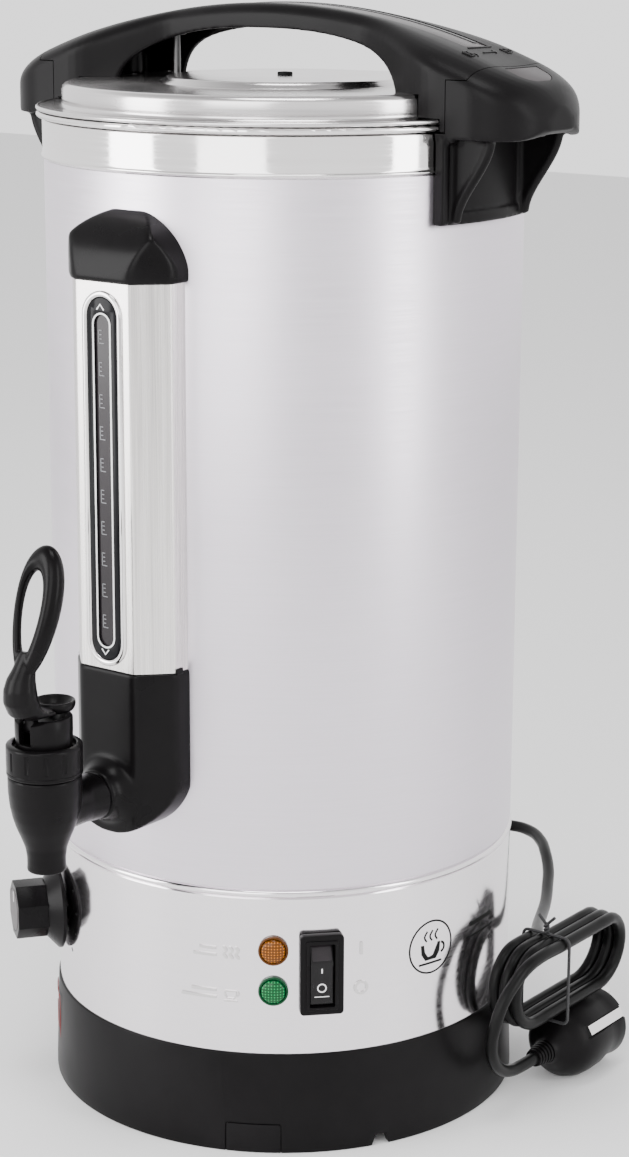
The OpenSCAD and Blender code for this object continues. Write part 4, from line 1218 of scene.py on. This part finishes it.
def make_tap():
    bowl = [(0, 146.5), (8.3, 146.5), (8.75, 147.2), (8.5, 149), (8.5, 153), (9.2, 157.5)]
    bowl += [(10.9, 162), (12.8, 166.5), (14.4, 171.5), (15.5, 177), (16.1, 183), (16.2, 190.6)]
    body = bare_mesh("tap_bowl", at_tap(turned_solid(bowl + [(0, 190.6)], 96)))
    pipe = turned(turned_solid([(0, 0), (10, 0), (9.7, 20), (10.8, 29.5), (0, 29.5)], 64), -90, "X")
    add_solid(body, shifted(pipe, 0, TAP_Y + 2, PIPE_Z))
    melt(body, 0.6, 10)
    bore = [(0, 140), (6, 140), (6, 163), (10.8, 168), (12.4, 173), (13.4, 183), (13.4, 200)]
    carve(body, at_tap(turned_solid(bore + [(0, 200)])))
    finish(body, "urn", "soft_black", ["tap_body"], 50)

    bonnet = [(12.7, 190.9), (16.3, 190.9), (16.6, 191.4), (16.6, 192.4), (16.35, 192.7)]
    bonnet += [(16.6, 193), (16.65, 203.2)] + arc((15.5, 203.6), 1.15, 0, 60, 4)
    bonnet += [(14.4, 205), (13.9, 204.6), (13.7, 202.5), (12.7, 202.5)]
    cap = bare_mesh("bonnet_ring", at_tap(lathe(bonnet, 144)))
    for az in range(15, 375, 30):
        carve(cap, at_tap(placed_at(prism(circle(1.1, 20), 194.6, 202.8), az, 17.25)))
    soften(cap, 0.35, 2, 30)
    finish(cap, "urn", "soft_black", ["tap_bonnet"], 45)

    guide = [(9.5, 187), (12.1, 187), (12.1, 204.5), (12.5, 207.5), (12.6, 211), (12.6, 216.4)]
    guide += [(12.2, 217), (9.9, 217), (9.5, 216.6)]
    sleeve = bare_mesh("guide_sleeve", at_tap(lathe(guide, 128)))
    carve(sleeve, at_tap(cuboid((-3.3, 3.3), (-20, -5), (206, 226))))
    tilt = Matrix.Translation((0, PIVOT_Y, PIVOT_Z)) @ Matrix.Rotation(math.radians(25), 4, "X")
    carve(sleeve, moved(cuboid((-20, 20), (-20, 3), (4.2, 24)), tilt))
    carve(sleeve, pivot_rod(3.3, 6.3, 32))
    carve(sleeve, pivot_rod(1.63, 9.45, 32))
    soften(sleeve, 0.35, 2, 45)
    finish(sleeve, "urn", "soft_black", ["tap_guide"], 45)
    make_spring()
    make_lever()


def make_spring():
    """The coil spring above the valve's seat."""
    turns, per_turn, reach = 7, 24, 5.8
    low, high, top = 183.1, 195.1, 195.8
    coil = []
    for step in range(turns * per_turn + 1):
        turn = 2 * math.pi * step / per_turn
        height = low + (high - low) * step / (turns * per_turn)
        coil.append((reach * math.cos(turn), reach * math.sin(turn), height))
    spring = build("spring_coil", "urn", "dark_steel", at_tap(tube(coil, 0.6, 12)), ["tap_spring"])
    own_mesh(spring)


def at_pivot(solid):
    return shifted(solid, 0, PIVOT_Y, PIVOT_Z)


def pivot_rod(r, reach, segments):
    """A rod along the lever's axis."""
    return at_pivot(turned(prism(circle(r, segments), -reach, reach), 90, "Y"))


def oval_ring(point, along, wide, thick, sides=20):
    """An oval cross-section whose wide side lies along X."""
    along = Vector(along).normalized()
    across = Vector((1, 0, 0))
    up = along.cross(across).normalized()
    return [
        Vector(point) + wide * math.cos(a) * across + thick * math.sin(a) * up
        for a in [2 * math.pi * j / sides for j in range(sides)]
    ]


def finger_loop():
    """A closed band round the finger hole, oval in section, thick at the top and the right."""
    rings = []
    for step in range(72):
        a = 2 * math.pi * step / 72
        s, c = math.sin(a), math.cos(a)
        inner = Vector((5.9 * s * (1 - 0.3 * c) - 0.3, 37.4 - 18.6 * c))
        outer = Vector((11.9 * s * (1 - 0.16 * c) + 2.7 * (1 - 0.5 * (1 + c) / 2), 38.6 - 29 * c))
        middle, reach = (inner + outer) / 2, (outer - inner) / 2
        thick = 3.4 + 1.3 * s - 0.5 * c
        rings.append([
            (
                middle.x + reach.x * math.cos(b), thick * math.sin(b),
                middle.y + reach.y * math.cos(b),
            )
            for b in [2 * math.pi * j / 24 for j in range(24)]
        ])
    return shifted(turned(loft(rings, closed=True), -16, "X"), 0, -186, 227)


def make_lever():
    lever = bare_mesh("pull_lever", finger_loop())
    spine = [
        ((1.9, -180.2, 247.5), (0, -0.25, -1), 4.6, 3.0),
        ((1.5, -181.2, 244), (0, -0.25, -1), 4.9, 3.8),
        ((0.8, -182.3, 240), (0, -0.2, -1), 5.4, 4.6),
        ((0.2, -183.6, 236), (0, -0.1, -1), 6.6, 5.8),
        ((0, -184.2, 231.5), (0, 0, -1), 7.6, 6.8),
        ((0, -184, 227), (0, 0.2, -1), 8.0, 7.2),
        ((0, -182.4, 223.2), (0, 0.7, -1), 8.3, 6.4),
        ((0, -179.4, 220.8), (0, 1, -0.5), 8.7, 3.9),
        ((0, -175.5, 219.6), (0, 1, -0.1), 8.9, 2.1),
        ((0, -171, 219.5), (0, 1, 0), 8.9, 1.9),
    ]
    add_solid(lever, loft([oval_ring(*step) for step in spine]))
    dish = [(0, 217.6), (7.6, 217.6), (8.8, 218.8), (9.3, 220.6), (9.2, 222.2), (8.6, 222.7)]
    dish += [(7.9, 222.2), (6.6, 220.6), (5.4, 219.5), (4.6, 218.9), (0, 218.9)]
    add_solid(lever, shifted(turned_solid(dish, 64), 0, -163, 0))
    add_solid(lever, pivot_rod(2.8, 6, 32))
    for x in (-5.6, 3.6):
        add_solid(lever, at_pivot(cuboid((x, x + 2), (0, 6.9), (-2, 0.4))))
    carve(lever, cuboid((-20, 20), (-200, -150), (214.5, 217.5)))
    add_solid(lever, at_pivot(cuboid((-2.9, 2.9), (-2.8, 0.5), (0, 6.5))))
    melt(lever, 0.45, 12)
    carve(lever, pivot_rod(1.66, 20, 24))
    finish(lever, "tap_lever", "soft_black", ["tap_lever"], 60)


# ------------------------------------------------------------------ controls

def make_controls():
    for colour, z in LAMP_ZS.items():
        make_lamp(colour, z)
    make_switch()
    make_knob()


def make_lamp(colour, z):
    """A domed lens, held by a narrow darker rim of its own."""
    dome = [(0, 105), (5.6, 105), (5.6, 111.3)]
    dome += [(5.6 * x, 111.3 + 2.3 * y) for x, y in [polar(1, a) for a in range(8, 91, 8)]]
    rim = [(4.9, 104), (4.9, 110.1), (6.9, 110.1), (6.9, 111.0)]
    rim += arc((6.35, 111.15), 0.55, 0, 180, 8) + [(5.7, 110.9), (5.62, 104)]
    look = f"{colour}_lens"
    build(f"{colour}_lamp", "urn", look, radial(turned_solid(dome, 64), LAMP_AZ, z), [look])
    build(f"{colour}_lamp_rim", "urn", f"{colour}_rim", radial(lathe(rim, 64), LAMP_AZ, z))


def at_switch(solid):
    return radial(solid, SWITCH_AZ, CONTROL_Z)


def make_switch():
    rim = bare_mesh("switch_bezel", at_switch(prism(rounded_rect(20, 38.2, 1.8), SHELL_R + 0.1, 114.2)))
    soften(rim, 0.6, 3, 40)
    inner = bare_mesh("inner_frame", at_switch(prism(rounded_rect(14.6, 33.2, 0.9), 110.5, 115.1)))
    soften(inner, 0.5, 3, 40)
    add_object(rim, inner)
    carve(rim, at_switch(prism(rounded_rect(11.6, 30.2, 0.6), 100, 120)))
    finish(rim, "urn", "soft_black", ["switch_frame"])
    side = [(-13, 104.4), (13, 104.4), (14.6, 109.4), (14.0, 110.4), (6.2, 113.5), (5.0, 113.8)]
    side += [(3.4, 113.3), (-12, 113.1), (-14.0, 113.5), (-14.7, 112.8), (-14.8, 109.4)]
    rocker = loft([[(x, y, out) for y, out in side] for x in (-5.4, 5.4)])
    build(
        "rocker_cap", "switch_rocker", "rocker_black", at_switch(rocker), ["switch_rocker"],
        round_edges=0.4,
    )
    slope = math.degrees(math.atan2(3.1, 7.8))
    lens = moved(
        prism(rounded_rect(9.2, 7.4, 0.6), 0, 0.35),
        Matrix.Translation((0, 10.1, 111.95)) @ Matrix.Rotation(math.radians(-slope), 4, "X"),
    )
    build("rocker_window", "switch_rocker", "smoked_glass", at_switch(lens), round_edges=0.12)
    marks = together(
        stroke([(0, 0.8), (0, 3.0)], 0.6, 113.1, 113.4),
        ring_mark(1.9, 0.55, 113.0, 113.3, (0, -6.4)),
        stroke([(-3.4, -10.6), (3.4, -10.6)], 0.35, 113.0, 113.25),
    )
    build("rocker_marks", "switch_rocker", "mark_white", at_switch(marks))


def at_knob(solid):
    return radial(solid, KNOB_AZ, KNOB_Z)


def make_knob():
    skirt = [(0, 111.4), (19.2, 111.4), (20, 111.9), (20, 113.2), (19.5, 113.7), (13.6, 119)]
    skirt = at_knob(turned_solid(skirt + [(0, 119)], 96))
    build("knob_skirt", "thermostat_knob", "soft_black", skirt, ["thermostat_knob"], sharp=35)
    grip = [polar(14.1, 22.5 + 45 * i) for i in range(8)]
    body = bare_mesh("knob_grip", at_knob(prism(grip, 118.8, 133.5)))
    carve(body, at_knob(prism(circle(10.4, 64), 132.7, 140)))
    soften(body, 0.7, 3, 30)
    finish(body, "thermostat_knob", "soft_black", [], 40)
    face = [(0, 132.6), (10.25, 132.6), (10.25, 133.3), (9.8, 133.7), (0, 133.75)]
    face = at_knob(turned_solid(face, 64))
    build("knob_face", "thermostat_knob", "grey_plastic", face, ["knob_inset"])
    pointer = prism([(-0.5, 4), (0.5, 4), (0.5, 9), (-0.5, 9)], 133.6, 133.85)
    build("knob_pointer", "thermostat_knob", "mark_white", at_knob(pointer))
    scale = []
    for i in range(11):
        ends = [polar(r, 225 - 27 * i) for r in (22.4, 24.4)]
        scale.append(stroke(ends, 0.4 + 0.06 * i, -0.1, 0.08))
    build("heat_scale", "urn", "mark_black", wrapped(together(*scale), KNOB_AZ, KNOB_Z))


# ------------------------------------------------------------------ mains lead's fittings

def at_plug(solid):
    lie = (
        Matrix.Translation((PLUG_X, 0, PLUG_R))
        @ Matrix.Rotation(math.radians(-90), 4, "X")
        @ Matrix.Rotation(math.radians(-30), 4, "Z")
    )
    return moved(solid, lie)


def make_plug():
    shape = [(0, 34), (4.2, 34), (4.6, 36), (6, 44), (7.4, 47), (12.5, 51), (16.2, 55), (18, 60)]
    shape += [(18.45, 66), (18.2, 74), (17.2, 80), (17.0, 86), (17.6, 90.8), (17.2, 92), (0, 92)]
    plug = bare_mesh("plug_body", at_plug(turned_solid(shape, 96)))
    for side in (-1, 1):
        carve(plug, at_plug(cuboid((side * 18.3 - 2, side * 18.3 + 2), (-3.2, 3.2), (58, 98))))
        carve(plug, at_plug(shifted(prism(circle(2.45, 32), 86, 106), 0, side * 9.5)))
    for low in range(35, 45, 2):
        groove = lathe([(3.6, low), (8, low), (8, low + 0.8), (3.9, low + 0.8)], 48)
        carve(plug, at_plug(groove))
    soften(plug, 0.5, 3, 40)
    finish(plug, "urn", "black_plastic", ["mains_plug"], 45)
    prongs = []
    for side in (-1, 1):
        pin = [(0, 86), (2.4, 86), (2.4, 108.6), (2.2, 109.8), (1.6, 110.8), (0, 111)]
        prongs.append(shifted(turned_solid(pin, 40), 0, side * 9.5))
        prongs.append(cuboid((side * 16.9 - 0.5, side * 16.9 + 0.5), (-2.3, 2.3), (61, 91)))
    contacts = build("plug_pins", "urn", "polished_steel", at_plug(together(*prongs)), ["plug_contacts"])
    return plug, contacts


def make_tie():
    """The wire tie round the hank's runs, with its two ends twisted together."""
    half_w, half_h = HANK_LAYERS * CORD_D / 2 + 0.9, FOLD_R + CORD_D / 2 + 0.7
    x, y, z = HANK_INNER_X + HANK_LAYERS * CORD_D / 2, 42.0, HANK_MID_Z
    loop = [(x + a, y, z + b) for a, b in dense(rounded_rect(2 * half_w, 2 * half_h, 3), 2)]
    ends = []
    for side in (-1, 1):
        path = []
        for step in range(30):
            t = step / 29
            spin = 5 * math.pi * min(t, 0.6) + (0 if side > 0 else math.pi)
            apart = 0.8 + max(0, t - 0.6) * 9
            path.append((x + apart * math.cos(spin), y + apart * math.sin(spin), z + half_h + 9 * t))
        ends.append(tube(path, 0.75, 12))
    tie = together(tube(loop + loop[:2], 0.75, 12), *ends)
    return build("wire_tie", "urn", "tie_grey", tie, ["cord_tie"])


def make_relief():
    sleeve = [(0, 104), (5.8, 104), (5.8, 110.2), (10, 110.2), (10, 112.4), (9.4, 113)]
    sleeve += [(7, 113), (6.6, 113.6)]
    for step in range(6):
        a, r = 114.4 + 3.8 * step, 6.4 - 0.36 * step
        sleeve += [(r, a), (r, a + 2.2), (r - 0.9, a + 2.5), (r - 0.9, a + 3.5)]
    sleeve += [(4.2, 137.2), (3.6, 138), (0, 138)]
    sleeve = radial(turned_solid(sleeve, 64), 180, LEAD_EXIT_Z)
    build("lead_sleeve", "urn", "black_plastic", sleeve, ["strain_relief"])


# ------------------------------------------------------------------ putting it together

def paint_cad():
    """Gives every CAD node that still shows its slot's material, save three steel nodes, which take a
    darker steel as painted shade.
    """
    slots = {row["node"]: row["material_slot"] for row in frame["record"]["subparts"]}
    # The bolts, the valve stem and the lever pin take dark steel instead of their slots' steel: painted
    # shade, which keeps bright highlights off them.
    slots.update({name: "dark_steel" for name in ("arch_bolts", "valve_stem", "lever_pin")})
    for name, part in frame["nodes"].items():
        part.data.materials.clear()
        part.data.materials.append(LOOKS[slots[name]])


mix_looks()
place_camera()
set_stage()
mains_cord = make_cord()
paint_cad()
make_base()
make_housing()
make_shell()
make_band()
make_lid()
make_arch()
make_side_handles()
make_column()
make_tap()
make_controls()
plug_body, plug_pins = make_plug()
wire_tie = make_tie()
make_relief()
